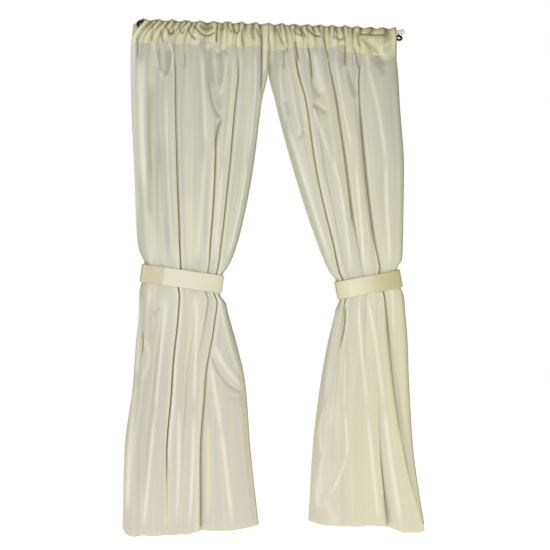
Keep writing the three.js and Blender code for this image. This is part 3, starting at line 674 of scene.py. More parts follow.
class Graph:
    """A material's node tree, with short ways to add nodes and link them."""

    def __init__(self, name: str) -> None:
        """Makes an empty material.

        Args:
            name: The material's name.
        """
        self.material = bpy.data.materials.new(name)
        self.material.use_nodes = True
        self.tree = self.material.node_tree
        self.tree.nodes.clear()

    def add(self, kind: str, inputs: dict | None = None, **settings: object) -> bpy.types.Node:
        """Adds a node.

        Args:
            kind: The node's type, without its ShaderNode prefix.
            inputs: Values or sockets for the node's inputs, by name or number.
            **settings: The node's own properties.

        Returns:
            The new node.
        """
        node = self.tree.nodes.new("ShaderNode" + kind)
        for key, value in settings.items():
            setattr(node, key, value)
        for key, value in (inputs or {}).items():
            if isinstance(value, bpy.types.NodeSocket):
                self.tree.links.new(value, node.inputs[key])
            else:
                node.inputs[key].default_value = value
        return node

    def math(self, operation: str, *values: object) -> bpy.types.NodeSocket:
        """Adds a Math node on numbers or sockets and gives its result."""
        return self.add("Math", dict(enumerate(values)), operation=operation).outputs[0]

    def span(self, value: object, low: float, high: float, to: Pair = (0, 1)) -> bpy.types.NodeSocket:
        """Maps a value from low and high to the two numbers of to, smoothly and clamped."""
        inputs = {0: value, 1: low, 2: high, 3: to[0], 4: to[1]}
        return self.add("MapRange", inputs, interpolation_type="SMOOTHSTEP").outputs[0]

    def blend(self, share: object, first: object, second: object) -> bpy.types.NodeSocket:
        """Mixes a share of the second colour into the first."""
        inputs = {0: share, 6: first, 7: second}
        return self.add("Mix", inputs, data_type="RGBA", clamp_factor=True).outputs[2]

    def noise(self, place: object, scale: Triple, detail: float) -> bpy.types.NodeSocket:
        """Adds noise, 0.5 on average, that repeats scale times per unit on each axis, with finer layers."""
        spread = self.add("Mapping", {"Vector": place, "Scale": scale}).outputs[0]
        return self.add("TexNoise", {"Vector": spread, "Scale": 1.0, "Detail": detail}).outputs[0]

    def finish(self, shader: bpy.types.NodeSocket) -> bpy.types.Material:
        """Links the surface and gives the material."""
        self.add("OutputMaterial", {"Surface": shader})
        return self.material


@dataclass(frozen=True)
class ClothFinish:
    """Thin glossy cream cloth, woven plain, with sewn hems and a doubled pocket that look yellower.

    Its tones are as seen on a screen: body at the top and foot at the bottom, grey and warm in streaks,
    doubled where it lies double and also for painted warm light, hollow and shade the painted shade of a
    light and a deep fold line, rim the painted highlight on a fold's edge and pale the painted highlight on
    a crest. Sizes are in metres on the flat pattern, and streaks and slubs are repeats in a metre.
    """

    name: str
    body: Triple
    foot: Triple
    grey: Triple
    warm: Triple
    # doubled is also the yellow of painted warm light; hollow and shade are painted shade in fold lines, and
    # rim and pale are painted highlights.
    doubled: Triple
    hollow: Triple
    shade: Triple
    rim: Triple
    pale: Triple
    roughness: float = 0.36
    sheer: float = 0.2
    thread: float = 0.0011
    slubs: float = 40
    foot_heights: Pair = (1.3, 0.5)
    broad_streaks: Triple = (17, 0.35, 1)
    fine_streaks: Triple = (70, 0.8, 1)
    pocket_blur: float = 0.002
    hem_blur: float = 0.0015
    hem_share: float = 0.45
    stitch: float = 0.0035
    stitch_share: float = 0.6
    stitch_edges: Pair = (0.0013, 0.0005)
    stitch_tone: float = 0.35
    stitch_dent: float = 1.5

    def material(self) -> bpy.types.Material:
        """Builds the cloth's material on its flat pattern: streaks along the warp, hems, stitches and weave.

        Returns:
            The material.
        """
        graph = Graph(self.name)
        place = graph.add("UVMap", uv_map="flat").outputs[0]
        across, along, _ = graph.add("SeparateXYZ", {0: place}).outputs
        broad = graph.noise(place, self.broad_streaks, 2)
        fine = graph.noise(place, self.fine_streaks, 3)
        low = graph.span(along, *self.foot_heights)
        colour = graph.blend(low, linear(*self.body), linear(*self.foot))
        # A streak's noise, the span of it that shows, its most share and its tone.
        streaks = ((broad, 0.4, 0.66, 0.8, self.grey), (fine, 0.48, 0.72, 0.5, self.warm))
        for noise, start, end, share, tone in streaks:
            colour = graph.blend(graph.span(noise, start, end, (0, share)), colour, linear(*tone))
        patchy = graph.span(broad, 0.3, 0.7, (0.9, 0.5))
        sewn = graph.math("MULTIPLY", self.sewn_mask(graph, across, along), patchy)
        colour = graph.blend(sewn, colour, linear(*self.doubled))
        # A tone's mask, the power that narrows it, its most share and its colour: yellow for doubled cloth
        # and painted warm light, a painted highlight on crests, painted shade of fold lines in two steps and
        # a painted highlight on fold edges.
        tones = (
            ("gold", 1, 0.8, self.doubled),
            ("pale", 1, 0.95, self.pale),
            ("tuck", 2, 0.9, self.hollow),
            ("tuck", 1, 0.92, self.shade),
            ("edge", 1, 0.6, self.rim),
        )
        for mask, power, share, tone in tones:
            depth = graph.math("POWER", graph.add("Attribute", attribute_name=mask).outputs["Fac"], power)
            colour = graph.blend(graph.math("MULTIPLY", depth, share), colour, linear(*tone))
        stitches = self.stitch_mask(graph, across, along)
        colour = graph.blend(graph.math("MULTIPLY", stitches, self.stitch_tone), colour, linear(*self.shade))
        warp = graph.noise(place, (1 / self.thread, self.slubs, 1), 2)
        weft = graph.noise(place, (self.slubs, 1 / self.thread, 1), 2)
        weave = graph.math("ADD", warp, weft)
        height = graph.math("SUBTRACT", weave, graph.math("MULTIPLY", stitches, self.stitch_dent))
        wrinkle = graph.add("Bump", {"Strength": 0.5, "Distance": 0.0012, "Height": fine}).outputs[0]
        threads = {"Strength": 0.12, "Distance": 0.0004, "Height": height, "Normal": wrinkle}
        bump = graph.add("Bump", threads).outputs[0]
        rough = graph.span(fine, 0.3, 0.7, (self.roughness - 0.04, self.roughness + 0.06))
        inputs = {
            "Base Color": colour,
            "Roughness": rough,
            "Normal": bump,
            "Specular IOR Level": 1.0,
            "Sheen Weight": 0.1,
            "Sheen Roughness": 0.4,
        }
        solid = graph.add("BsdfPrincipled", inputs).outputs[0]
        glow = graph.add("BsdfTranslucent", {"Color": colour, "Normal": bump}).outputs[0]
        return graph.finish(graph.add("MixShader", {0: self.sheer, 1: solid, 2: glow}).outputs[0])

    def sewn_mask(self, graph: Graph, across: object, along: object) -> bpy.types.NodeSocket:
        """Finds where the cloth lies double: in the pocket and in its hems.

        Args:
            graph: The material's nodes.
            across: The distance from the left edge.
            along: The distance from the hem.

        Returns:
            A mask's socket, 1 where the cloth is doubled.
        """
        pocket = graph.span(along, CLOTH_HANG - self.pocket_blur, CLOTH_HANG + self.pocket_blur)
        hem = graph.span(along, HEM_DEPTH + self.hem_blur, HEM_DEPTH - self.hem_blur)
        away = self.from_side(graph, across)
        side = graph.span(away, SIDE_HEM + self.hem_blur, SIDE_HEM - self.hem_blur)
        hems = graph.math("MULTIPLY", graph.math("MAXIMUM", hem, side), self.hem_share)
        return graph.math("MAXIMUM", pocket, hems)

    def from_side(self, graph: Graph, across: object) -> bpy.types.NodeSocket:
        """Gives the distance from the nearer side edge."""
        return graph.math("MINIMUM", across, graph.math("SUBTRACT", CLOTH_WIDTH, across))

    def stitch_mask(self, graph: Graph, across: object, along: object) -> bpy.types.NodeSocket:
        """Finds the stitched lines: under the pocket, above the hem and beside the side hems.

        A stitch covers its share of the pitch along the line.

        Args:
            graph: The material's nodes.
            across: The distance from the left edge.
            along: The distance from the hem.

        Returns:
            A mask's socket, 1 on a stitch.
        """
        side = self.from_side(graph, across)
        lines = ((along, CLOTH_HANG, across), (along, HEM_DEPTH, across), (side, SIDE_HEM, along))
        masks = []
        for line, at, run in lines:
            away = graph.math("ABSOLUTE", graph.math("SUBTRACT", line, at))
            on_line = graph.span(away, *self.stitch_edges)
            beat = graph.math("FRACT", graph.math("DIVIDE", run, self.stitch))
            stitch = graph.math("LESS_THAN", beat, self.stitch_share)
            masks.append(graph.math("MULTIPLY", on_line, stitch))
        return graph.math("MAXIMUM", masks[0], graph.math("MAXIMUM", masks[1], masks[2]))


@dataclass(frozen=True)
class PaintFinish:
    """Pale satin paint on turned metal, a little uneven."""

    name: str
    colour: Triple
    worn: Triple
    roughness: float
    patch_scale: float = 60.0
    peel_scale: float = 900.0

    def material(self) -> bpy.types.Material:
        """Builds the paint: two close tones and a faint orange-peel bump.

        Returns:
            The material.
        """
        graph = Graph(self.name)
        place = graph.add("TexCoord").outputs["Object"]
        patches = graph.noise(place, (self.patch_scale,) * 3, 3)
        wear = graph.span(patches, 0.4, 0.75, (0, 0.7))
        colour = graph.blend(wear, linear(*self.colour), linear(*self.worn))
        peel = graph.noise(place, (self.peel_scale,) * 3, 1)
        bump = graph.add("Bump", {"Strength": 0.1, "Distance": 0.0002, "Height": peel}).outputs[0]
        rough = graph.span(patches, 0.3, 0.7, (self.roughness - 0.05, self.roughness + 0.08))
        inputs = {"Base Color": colour, "Roughness": rough, "Normal": bump}
        return graph.finish(graph.add("BsdfPrincipled", inputs).outputs[0])


@dataclass(frozen=True)
class MetalFinish:
    """Dark browned metal with slightly paler rubbed patches."""

    name: str
    colour: Triple
    rubbed: Triple
    roughness: float
    patch_scale: float = 140.0

    def material(self) -> bpy.types.Material:
        """Builds the metal: a dark tone, rubbed patches and an uneven gloss.

        Returns:
            The material.
        """
        graph = Graph(self.name)
        place = graph.add("TexCoord").outputs["Object"]
        patches = graph.noise(place, (self.patch_scale,) * 3, 4)
        colour = graph.blend(graph.span(patches, 0.5, 0.8), linear(*self.colour), linear(*self.rubbed))
        rough = graph.span(patches, 0.3, 0.7, (self.roughness + 0.1, self.roughness - 0.08))
        bump = graph.add("Bump", {"Strength": 0.2, "Distance": 0.0003, "Height": patches}).outputs[0]
        inputs = {"Base Color": colour, "Roughness": rough, "Normal": bump, "Metallic": 0.5}
        return graph.finish(graph.add("BsdfPrincipled", inputs).outputs[0])


CREAM_CLOTH = ClothFinish(
    name="cream_cloth",
    body=(0.815, 0.82, 0.735),
    foot=(0.818, 0.798, 0.726),
    grey=(0.79, 0.79, 0.74),
    warm=(0.86, 0.845, 0.72),
    # Doubled cloth; the gold tint also uses it for painted warm light.
    doubled=(0.915, 0.912, 0.715),
    # Painted shade of fold lines, light and deep, then painted highlights on fold edges and crests.
    hollow=(0.70, 0.63, 0.05),
    shade=(0.36, 0.325, 0.02),
    rim=(0.95, 0.92, 0.74),
    pale=(0.97, 0.96, 0.90),
)
BAND_CLOTH = ClothFinish(
    name="band_cloth",
    body=(0.85, 0.842, 0.775),
    foot=(0.85, 0.842, 0.775),
    grey=(0.84, 0.83, 0.77),
    warm=(0.865, 0.852, 0.76),
    # Doubled cloth, also painting warm light on the right band.
    doubled=(0.87, 0.855, 0.66),
    # Painted shade of the band's facets, light and deep, and the tones of painted highlights.
    hollow=(0.85, 0.83, 0.64),
    shade=(0.66, 0.62, 0.42),
    rim=(0.97, 0.95, 0.8),
    pale=(0.95, 0.94, 0.88),
    roughness=0.42,
    sheer=0.06,
)
IVORY_PAINT = PaintFinish("ivory_paint", (0.91, 0.90, 0.84), (0.86, 0.84, 0.75), 0.35)
BROWNED_METAL = MetalFinish("browned_metal", (0.16, 0.12, 0.09), (0.24, 0.18, 0.13), 0.38)


@dataclass
class TieBand:
    """A flat band of doubled cloth, closed round a curtain, that falls a little to one side.

    Sizes are the middle of its loop, the loop's length and depth inside, and its fall towards +X in degrees.
    Cloth inside it is held to the clearance, and released from one distance past its rims to another. Its
    flat pattern starts at a corner of the cloth's, drawn in a little along its run.
    """

    name: str
    node: str
    middle: Triple
    length: float
    depth: float
    fall: float
    flat_length: float
    # A yellow tint over the whole band: doubled cloth, with painted warm light on the right band.
    gold: float
    bends: tuple[Bend, ...]
    height: float = 73.0
    thickness: float = 2.0
    squareness: float = 6.0
    clearance: float = 1.2
    press_start: float = 0.9
    release: Pair = (2.0, 42.0)
    facet_depth: float = 0.9
    pattern_corner: Pair = (0.04, 0.4)
    pattern_pull: float = 0.9
    around: int = 240
    face_rows: int = 13
    rim_rows: int = 6

    def to_band(self, points: np.ndarray) -> np.ndarray:
        """Turns points of the shared frame into the band's own, by its middle and its fall.

        Args:
            points: Points in the shared frame.

        Returns:
            Their places along the band's length, its depth and its height.
        """
        turn = np.radians(self.fall)
        away = points - np.array(self.middle)
        along = away[..., 0] * np.cos(turn) - away[..., 2] * np.sin(turn)
        up = away[..., 0] * np.sin(turn) + away[..., 2] * np.cos(turn)
        return np.stack([along, away[..., 1], up], axis=-1)

    def from_band(self, points: np.ndarray) -> np.ndarray:
        """Turns points of the band's own frame back into the shared frame.

        Args:
            points: Places along the band's length, its depth and its height.

        Returns:
            The points in the shared frame.
        """
        turn = np.radians(self.fall)
        x = points[..., 0] * np.cos(turn) + points[..., 2] * np.sin(turn)
        z = points[..., 2] * np.cos(turn) - points[..., 0] * np.sin(turn)
        return np.stack([x, points[..., 1], z], axis=-1) + np.array(self.middle)

    def press(self, points: np.ndarray) -> np.ndarray:
        """Presses cloth in so that it stays inside the band, and lets it swell again above and below.

        The band's inside is a rounded oblong, so a point's reach is the sixth root of the sum of the sixth
        powers of its shares of the half length and half depth. A reach above the start is eased to 1.

        Args:
            points: The cloth's points.

        Returns:
            The pressed points.
        """
        inside = self.to_band(points)
        half = np.array([self.length / 2, self.depth / 2]) - self.clearance
        power, start, (near, far) = self.squareness, self.press_start, self.release
        reach = np.sum(np.abs(inside[..., :2] / half) ** power, axis=-1) ** (1 / power)
        eased = np.where(reach > start, start + (1 - start) * np.tanh((reach - start) / (1 - start)), reach)
        hold = ease(self.height / 2 + far, self.height / 2 + near, np.abs(inside[..., 2]))
        shrink = 1 + hold * (eased / np.maximum(reach, 1e-6) - 1)
        inside[..., :2] *= shrink[..., None]
        return self.from_band(inside)

    def build(self) -> bpy.types.Object:
        """Carries a flat, round-edged profile once round the loop.

        The loop is the rounded oblong (a sign(cos) |cos|^(2/n), b sign(sin) |sin|^(2/n)), and its front is
        bowed out by straight stretches between the bends, so that it turns in flat facets.

        Returns:
            The band's object.
        """
        angle = np.linspace(0, 2 * np.pi, self.around, endpoint=False)
        soften = 2 / self.squareness
        half = np.array([self.length / 2, self.depth / 2]) + self.thickness / 2
        wave = np.stack([np.cos(angle), np.sin(angle)], axis=-1)
        loop = half * np.sign(wave) * np.abs(wave) ** soften
        place, bow, shade = np.array(self.bends).T
        front = ease(0.0, -half[1] * self.facet_depth, loop[:, 1])
        loop[:, 1] -= front * np.interp(loop[:, 0] / half[0], place, bow)
        along = np.roll(loop, -1, axis=0) - np.roll(loop, 1, axis=0)
        along /= np.linalg.norm(along, axis=1, keepdims=True)
        out = np.stack([along[:, 1], -along[:, 0]], axis=-1)
        rise, swell = self.profile()
        flat = loop[:, None] + out[:, None] * swell[None, :, None]
        up = np.broadcast_to(rise[None, :, None], flat.shape[:2] + (1,))
        points = self.from_band(np.concatenate([flat, up], axis=-1))
        piece = make_piece(self.name, points, grid_faces(self.around, len(rise), True, True)[:, ::-1])
        run = np.concatenate([[0], np.cumsum(np.linalg.norm(np.diff(loop, axis=0), axis=1))]) * MM
        u, v = self.pattern_corner
        flat_run, flat_rise = u + self.pattern_pull * run[:, None], v + rise[None] * MM
        add_uv(piece, np.stack(np.broadcast_arrays(flat_run, flat_rise), axis=-1))
        # Painted shade on the band's facets, from its bends, and its yellow tint.
        dark = np.interp(loop[:, 0] / half[0], place, shade)[:, None]
        add_mask(piece, "tuck", np.broadcast_to(dark, flat.shape[:2]))
        add_mask(piece, "gold", np.full(flat.shape[:2], self.gold))
        return piece

    def profile(self) -> tuple[np.ndarray, np.ndarray]:
        """Gives the profile once round: up the outer face, over a round edge, down the inner face and back.

        Returns:
            The heights and the distances out from the band's middle.
        """
        edge = self.height / 2 - self.thickness
        face = np.linspace(-1, 1, self.face_rows + 2)[1:-1] * edge
        turn = np.linspace(0, np.pi, self.rim_rows)
        lip = self.thickness * 0.5
        rise = np.concatenate([face, edge + self.thickness * np.sin(turn)])
        swell = np.concatenate([np.full(len(face), lip), lip * np.cos(turn)])
        return np.concatenate([rise, -rise]), np.concatenate([swell, -swell])

    def dress(self, piece: bpy.types.Object, cloth: bpy.types.Material, curtain: bpy.types.Object) -> None:
        """Gives the band its cloth, hangs it on the body and hides the model's part that it takes the place
        of.

        Args:
            piece: The band's object.
            cloth: Its material.
            curtain: The curtain that it goes round; not used.
        """
        piece.data.materials.append(cloth)
        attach(piece, BODY)
        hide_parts(self.node)


@dataclass
class Curtain:
    """A curtain: hanging folds, a gathered pocket over the rod and a flap sewn down behind it.

    Besides its tables it holds, in pairs for its left and right edge, the pocket's ends, the hem's corners as
    a radius and its most rise, the painted shade along the sides and how strong the painted warm light is,
    as a yellow tint. The hem's lifts go by the fold's number. A lap's painted shade has a depth and a width,
    and laps gives its strength over the drop for the tucks where it changes. A fade is the stretch over which
    a thing dies out.
    """

    name: str
    node: str
    sections: tuple[Section, ...]
    folds: tuple[Fold, ...]
    creases: tuple[Crease, ...]
    pleats: tuple[Pleat, ...]
    seam: tuple[SeamPoint, ...]
    pocket: Pair
    stands_out: float
    tie: TieBand
    rows: tuple[RowSpan, ...]
    corners: tuple[Pair, Pair]
    hem_lifts: tuple[Pair, ...]
    # Painted shade along the sides and beside each lap.
    side_shades: Pair
    lap_shade: float
    lap_width: float
    # Painted warm light, as a yellow tint at the left and right edge.
    warm_light_tint: Pair
    laps: dict[str, tuple[Pair, ...]]
    # The drops over which the painted warm light comes in.
    warm_light_drops: Pair = (300.0, 1400.0)
    apart: float = 2.9
    least_columns: int = 4
    ripple: float = 0.6
    ripple_fade: float = 250.0
    seam_fade: float = 230.0
    gather_fade: Pair = (240.0, 60.0)
    hem_fade: float = 60.0
    stand_out_folds: int = 3
    heading_rows: int = 22
    rod_rows: int = 11
    flap_rows: int = 10

    def drop_of(self, place: str) -> float:
        """Finds the middle drop of a cut.

        Args:
            place: The cut's name, or tie for half way between the tie's top and foot.

        Returns:
            The drop, half way between the cut's left and right ends.
        """
        drops = {cut.place: (cut.drop_left + cut.drop_right) / 2 for cut in self.sections}
        drops["tie"] = (drops["tieTop"] + drops["tieFoot"]) / 2
        return drops[place]

    def softness(self) -> np.ndarray:
        """The softness of each fold's turn."""
        return np.array([fold.kind.value for fold in self.folds])

    def levels(self) -> np.ndarray:
        """Spaces the hanging rows from the hem up to the seam, closer together where creases slant.

        Returns:
            The rows' mean drops.
        """
        rows, low = [], self.drop_of("hem")
        for span in self.rows:
            count = round((low - span.top) / span.apart)
            rows.append(np.linspace(low, span.top, count, endpoint=False))
            low = span.top
        return np.concatenate([*rows, [self.drop_of("seam")]])

    def steps(self) -> np.ndarray:
        """Counts the mesh columns by the mean run between folds at the named cuts.

        Returns:
            The columns from each fold to the next.
        """
        cuts = self.fold_points(np.array([self.drop_of(cut.place) for cut in self.sections]))
        run = np.linalg.norm(np.diff(cuts, axis=1), axis=-1).mean(axis=0)
        return np.maximum(np.round(run / self.apart), self.least_columns).astype(int)

    def fold_points(self, levels: np.ndarray) -> np.ndarray:
        """Finds the places of the folds on the hanging cloth.

        At each level a fold's x is its share of the way from the left edge to the right one, its y the same
        of the way from the back to the front, and its z falls from the left drop to the right one. Shares
        and edges are steady curves over the drop.

        Args:
            levels: The rows' mean drops.

        Returns:
            Points, as rows by folds by 3.
        """
        drops = np.array([self.drop_of(cut.place) for cut in self.sections])
        cuts = SteadyCurve(drops, np.array([cut[1:] for cut in self.sections])).at(levels)
        low_left, low_right, left, right, front, back = cuts.T[:, :, None]
        shares = np.array([fold[1:7] for fold in self.folds]).T
        at_seam = (shares[0] + np.linspace(0, 1, len(self.folds))) / 2
        names = ("seam", "upper", "chest", "waist", "tie", "skirt", "hem")
        places = np.array([self.drop_of(name) for name in names])
        share = SteadyCurve(places, np.vstack([at_seam, shares])).at(levels)
        lifts = np.array([fold[7:] for fold in self.folds]).T
        lift = SteadyCurve(places, np.vstack([lifts[:1], lifts])).at(levels)
        x = left + share * (right - left)
        y = back + lift * (front - back)
        z = -(low_left + share * (low_right - low_left))
        return np.stack([x, y, z], axis=-1)

    def gathered(self, turns: np.ndarray) -> np.ndarray:
        """Finds the gathered cloth round the rod, 0 in front of it to pi behind it.

        Every other fold stands off the rod, and the back layer stands out past the rod's left end.

        Args:
            turns: The rows' angles over the rod.

        Returns:
            Points, as rows by columns by 3.
        """
        k = np.arange(len(self.folds))[None, :]
        turn = turns[:, None]
        gather = (k + 1) % 2
        out = self.stands_out * np.maximum(1 - k / self.stand_out_folds, 0) * (turn / np.pi) ** 2
        x = self.pocket[0] + (self.pocket[1] - self.pocket[0]) * k / k.max() - out
        y = -(POCKET_NEAR + gather * POCKET_FRONT_GATHER) * np.cos(turn)
        z = (POCKET_NEAR + gather * POCKET_TOP_GATHER) * np.sin(turn)
        return rows_through(np.stack([x, y, z], axis=-1), np.ones(len(self.folds)), self.steps())

    def behind(self, row: np.ndarray) -> np.ndarray:
        """Sets a level row back from the cloth's face by the flap's gap, at right angles to its run.

        Args:
            row: The row's points.

        Returns:
            The points of the row behind it.
        """
        run = np.gradient(row[:, :2], axis=0)
        run /= np.maximum(np.linalg.norm(run, axis=1, keepdims=True), 1e-9)
        back = np.stack([-run[:, 1], run[:, 0], np.zeros(len(row))], axis=-1)
        return row + back * FLAP_GAP

    def surface(self) -> tuple[np.ndarray, dict[Tint, np.ndarray], int]:
        """Puts all rows together: up from the hem, up the pocket's front, over the rod and down the flap.

        The pocket's front and the flap are mixes of the seam's row and the rod's, straight but for the
        front's x, which turns to the rod late. The uneven seam, the gathers, the creases and the ripples
        then move the points.

        Returns:
            The points, their tints and the number of the seam's row.
        """
        levels = self.levels()
        hang = rows_through(self.fold_points(levels), self.softness(), self.steps())
        seam = hang[-1]
        turns = np.linspace(0, np.pi, self.rod_rows)
        over = self.gathered(turns)
        rise = np.linspace(0, 1, self.heading_rows + 1)[1:-1]
        fall = np.linspace(1, 0, self.flap_rows + 1)[1:]
        late = 1.8
        front = seam + (over[0] - seam) * rise[:, None, None]
        front[..., 0] = seam[:, 0] + (over[0] - seam)[:, 0] * rise[:, None] ** late
        flap = self.behind(seam)
        rear = flap + (over[-1] - flap) * fall[:, None, None]
        points = np.concatenate([hang, front, over, rear])
        under = ease(SEAM_DROP + self.seam_fade, SEAM_DROP, levels)
        near_seam = np.concatenate([under, 1 - rise, np.zeros(len(turns)), 1 - fall])
        uneven = np.interp(seam[:, 0], *np.array(self.seam).T) - SEAM_DROP
        points[..., 2] -= near_seam[:, None] * uneven
        tints = self.move(points, levels, rise, turns, fall)
        return self.round_hem(self.tie.press(points)), tints, len(hang) - 1

    def move(
        self, points: np.ndarray, levels: np.ndarray, rise: np.ndarray, turns: np.ndarray, fall: np.ndarray
    ) -> dict[Tint, np.ndarray]:
        """Moves the points by the gathers, the creases and the ripples, out from the cloth's face.

        A gather is its height times |cos(pi n)| ^ 0.8, where n counts the gathers passed, so that it has a
        round top and a narrow valley half way to the next one. It is full in front of the rod, flatter on
        top of it, fades below the seam and turns to the other side down the flap. A crest's painted highlight
        is a high power of the same bow, a valley's painted shade a low power of what is left, and painted
        shade also lies under the rod.

        Args:
            points: The points, which are moved in place.
            levels: Drops of the hanging rows.
            rise: Shares of the pocket's front rows, 0 at the seam and 1 at the rod.
            turns: Angles of the rows over the rod.
            fall: Shares of the flap's rows, 1 at the rod and 0 at the seam.

        Returns:
            The tints of the creases, with a painted highlight on the gathers' crests and painted shade in
            their valleys and under the rod.
        """
        crest_full, at_seam, flat_top, round_top = 10.0, 0.65, 0.65, 0.8
        valley_shade, rod_shade, rod_crest, crest_light = 1.2, 0.9, 0.8, 0.6
        valley_power, crest_power, fade_power, rod_start = 3, 8, 3, 0.4
        fade_foot, fade_head = self.gather_fade
        k, s = stretches(self.steps())
        share = np.append(k + s, len(self.folds) - 1) / (len(self.folds) - 1)
        crest, height = np.array(self.pleats).T
        phase = np.interp(share, crest, np.arange(len(crest)))
        tall, crown = np.interp(share, crest, height), np.abs(np.cos(np.pi * phase)) ** round_top
        below = at_seam * ease(SEAM_DROP + fade_foot, SEAM_DROP - fade_head, levels)
        over = 1 - flat_top * np.sin(turns)
        strength = np.concatenate([below, at_seam + (1 - at_seam) * rise, over, np.ones(len(fall))])
        level = np.zeros(len(levels) + len(rise))
        lean = np.concatenate([level, turns, np.full(len(fall), np.pi)])
        out = np.stack([np.zeros(len(lean)), -np.cos(lean), np.sin(lean)], axis=-1)
        out[-len(fall):, 1] = at_seam * (fall - 1) + fall
        facing = np.concatenate([level + 1, np.maximum(np.cos(turns), 0), np.zeros(len(fall))])
        crease, tints = crease_field(points[..., 0], -points[..., 2], self.creases)
        push = strength[:, None] * tall * crown + facing[:, None] * crease
        push[: len(levels)] += self.ripples(levels, share)
        points += push[..., None] * out[:, None]
        gathers = strength[:, None] ** fade_power * tall / crest_full
        nearing = ease(rod_start, 1, rise)
        near_rod = np.concatenate([0 * levels, nearing, np.ones(len(turns)), 0 * fall])[:, None]
        # Painted shade under the rod and in the gathers' valleys, and a painted highlight on their crests.
        under_rod = rod_shade * near_rod * (1 - rod_crest * crown)
        hollow = np.maximum(valley_shade * gathers * (1 - crown) ** valley_power, under_rod)
        light = crest_light * gathers * crown**crest_power
        lines = {PALE: light, SHADE: hollow, GOLD: np.zeros_like(gathers)}
        return {tint: np.maximum(facing[:, None] * mask, lines[tint]) for tint, mask in tints.items()}

    def ripples(self, levels: np.ndarray, share: np.ndarray) -> np.ndarray:
        """Finds soft upright ripples: three sine waves across the cloth that drift slowly over the drop.

        Args:
            levels: Drops of the hanging rows.
            share: The columns' shares of the width.

        Returns:
            The ripples' push.
        """
        drop = levels[:, None] / 1000
        # A wave's height, its turns across the cloth and in a metre of drop, and its start.
        waves = ((0.5, 9.3, 0.35, 0.0), (0.35, 15.7, -0.5, 0.3), (0.25, 23.1, 0.8, 0.7))
        swell = sum(
            height * np.sin(2 * np.pi * (across * share + drift * drop + start))
            for height, across, drift, start in waves
        )
        return self.ripple * ease(SEAM_DROP, SEAM_DROP + self.ripple_fade, drop * 1000) * swell

    def round_hem(self, points: np.ndarray) -> np.ndarray:
        """Shapes the hem by its folds' own lifts and, at each corner, by a circle's rise.

        Both die out further up, by exp(-height above the hem / fade).

        Args:
            points: The cloth's points, which are moved in place.

        Returns:
            The same points.
        """
        rows = points[:, :, 2]
        k, s = stretches(self.steps())
        lift = np.interp(np.append(k + s, len(self.folds) - 1), *np.array(self.hem_lifts).T)
        corner = np.zeros(points.shape[1])
        for edge, (radius, most) in zip(points[0, [0, -1], 0], self.corners):
            inside = np.clip(1 - np.abs(points[0, :, 0] - edge) / radius, 0, 1)
            corner = np.maximum(corner, np.minimum(radius * (1 - np.sqrt(1 - inside**2)), most))
        height = rows - rows[0]
        points[:, :, 2] = rows + (corner + lift) * np.exp(-height / self.hem_fade)
        return points

    def masks(self, points: np.ndarray, tints: dict[Tint, np.ndarray]) -> dict[str, np.ndarray]:
        """Finds painted shade beside each lap, a painted highlight on its rim, and where the cloth lies over
        itself.

        The painted shade is exp(-(distance past the edge / width) squared), as deep as the tuck is behind its
        edge, times the tuck's own strength over the drop where laps gives one. A painted highlight strip, the
        same bell, lies just past the shade. The cloth counts as lined, which looks yellower, from the tuck to
        the edge, and painted warm light tints it yellow from one side to the other, more so further down.
        Painted shade along a side is the same bell from the cloth's own edge.

        Args:
            points: The cloth's points.
            tints: The tints of its creases.

        Returns:
            The masks by name.
        """
        full_recess, rim_columns, soft_side, side_width, lined_gold = 9.0, 1.0, 4.0, 6.0, 0.5
        lit_away, lit_width, lit_pale, least_lap, ramp_columns = 13.0, 6.0, 0.5, 6.0, 4
        x, y = points[..., 0], points[..., 1]
        column = np.arange(x.shape[1])
        at_fold = np.append(0, np.cumsum(self.steps()))
        # tuck holds painted shade, and edge and pale hold painted highlights.
        tuck, edge, pale = tints[SHADE], np.zeros_like(x), tints[PALE]
        share = np.linspace(0, 1, len(column))
        # Painted warm light: yellower towards one side and further down.
        warm_lit = ease(*self.warm_light_drops, -points[..., 2]) * np.interp(share, (0, 1), self.warm_light_tint)
        gold = np.maximum(tints[GOLD], warm_lit)
        for k, fold in enumerate(self.folds):
            if fold.kind is not FoldKind.TUCK:
                continue
            rim, foot = at_fold[k - 1], at_fold[k]
            recess = np.clip((y[:, foot] - y[:, rim]) / full_recess, 0, 1)[:, None]
            recess = recess * ease(0, least_lap, x[:, rim] - x[:, foot])[:, None]
            if fold.name in self.laps:
                recess = recess * np.interp(-points[:, rim, 2, None], *np.array(self.laps[fold.name]).T)
            # Painted shade just past the edge, and a painted highlight strip beyond it and on the rim.
            beyond = np.maximum(x - x[:, rim, None], 0)
            reach = np.clip((column - rim) / ramp_columns, 0, 1) * (column < at_fold[k + 2])
            bell = np.exp(-((beyond / self.lap_width) ** 2))
            tuck = np.maximum(tuck, self.lap_shade * recess * reach * bell)
            lit = np.exp(-(((beyond - lit_away) / lit_width) ** 2)) * (beyond > 0) * reach
            pale = np.maximum(pale, lit_pale * recess * lit)
            edge = np.maximum(edge, recess * np.exp(-(((column - rim) / rim_columns) ** 2)))
            past_tuck = ease(-soft_side, soft_side, x - x[:, foot, None])
            lined = past_tuck * (column <= rim) * (column > at_fold[k - 3])
            gold = np.maximum(gold, lined_gold * recess * lined)
        # Painted shade along each side edge.
        for side, shade in zip((0, -1), self.side_shades):
            away = np.abs(x - x[:, side, None])
            tuck = np.maximum(tuck, shade * np.exp(-((away / side_width) ** 2)))
        return {"tuck": tuck, "edge": edge, "gold": gold, "pale": pale}

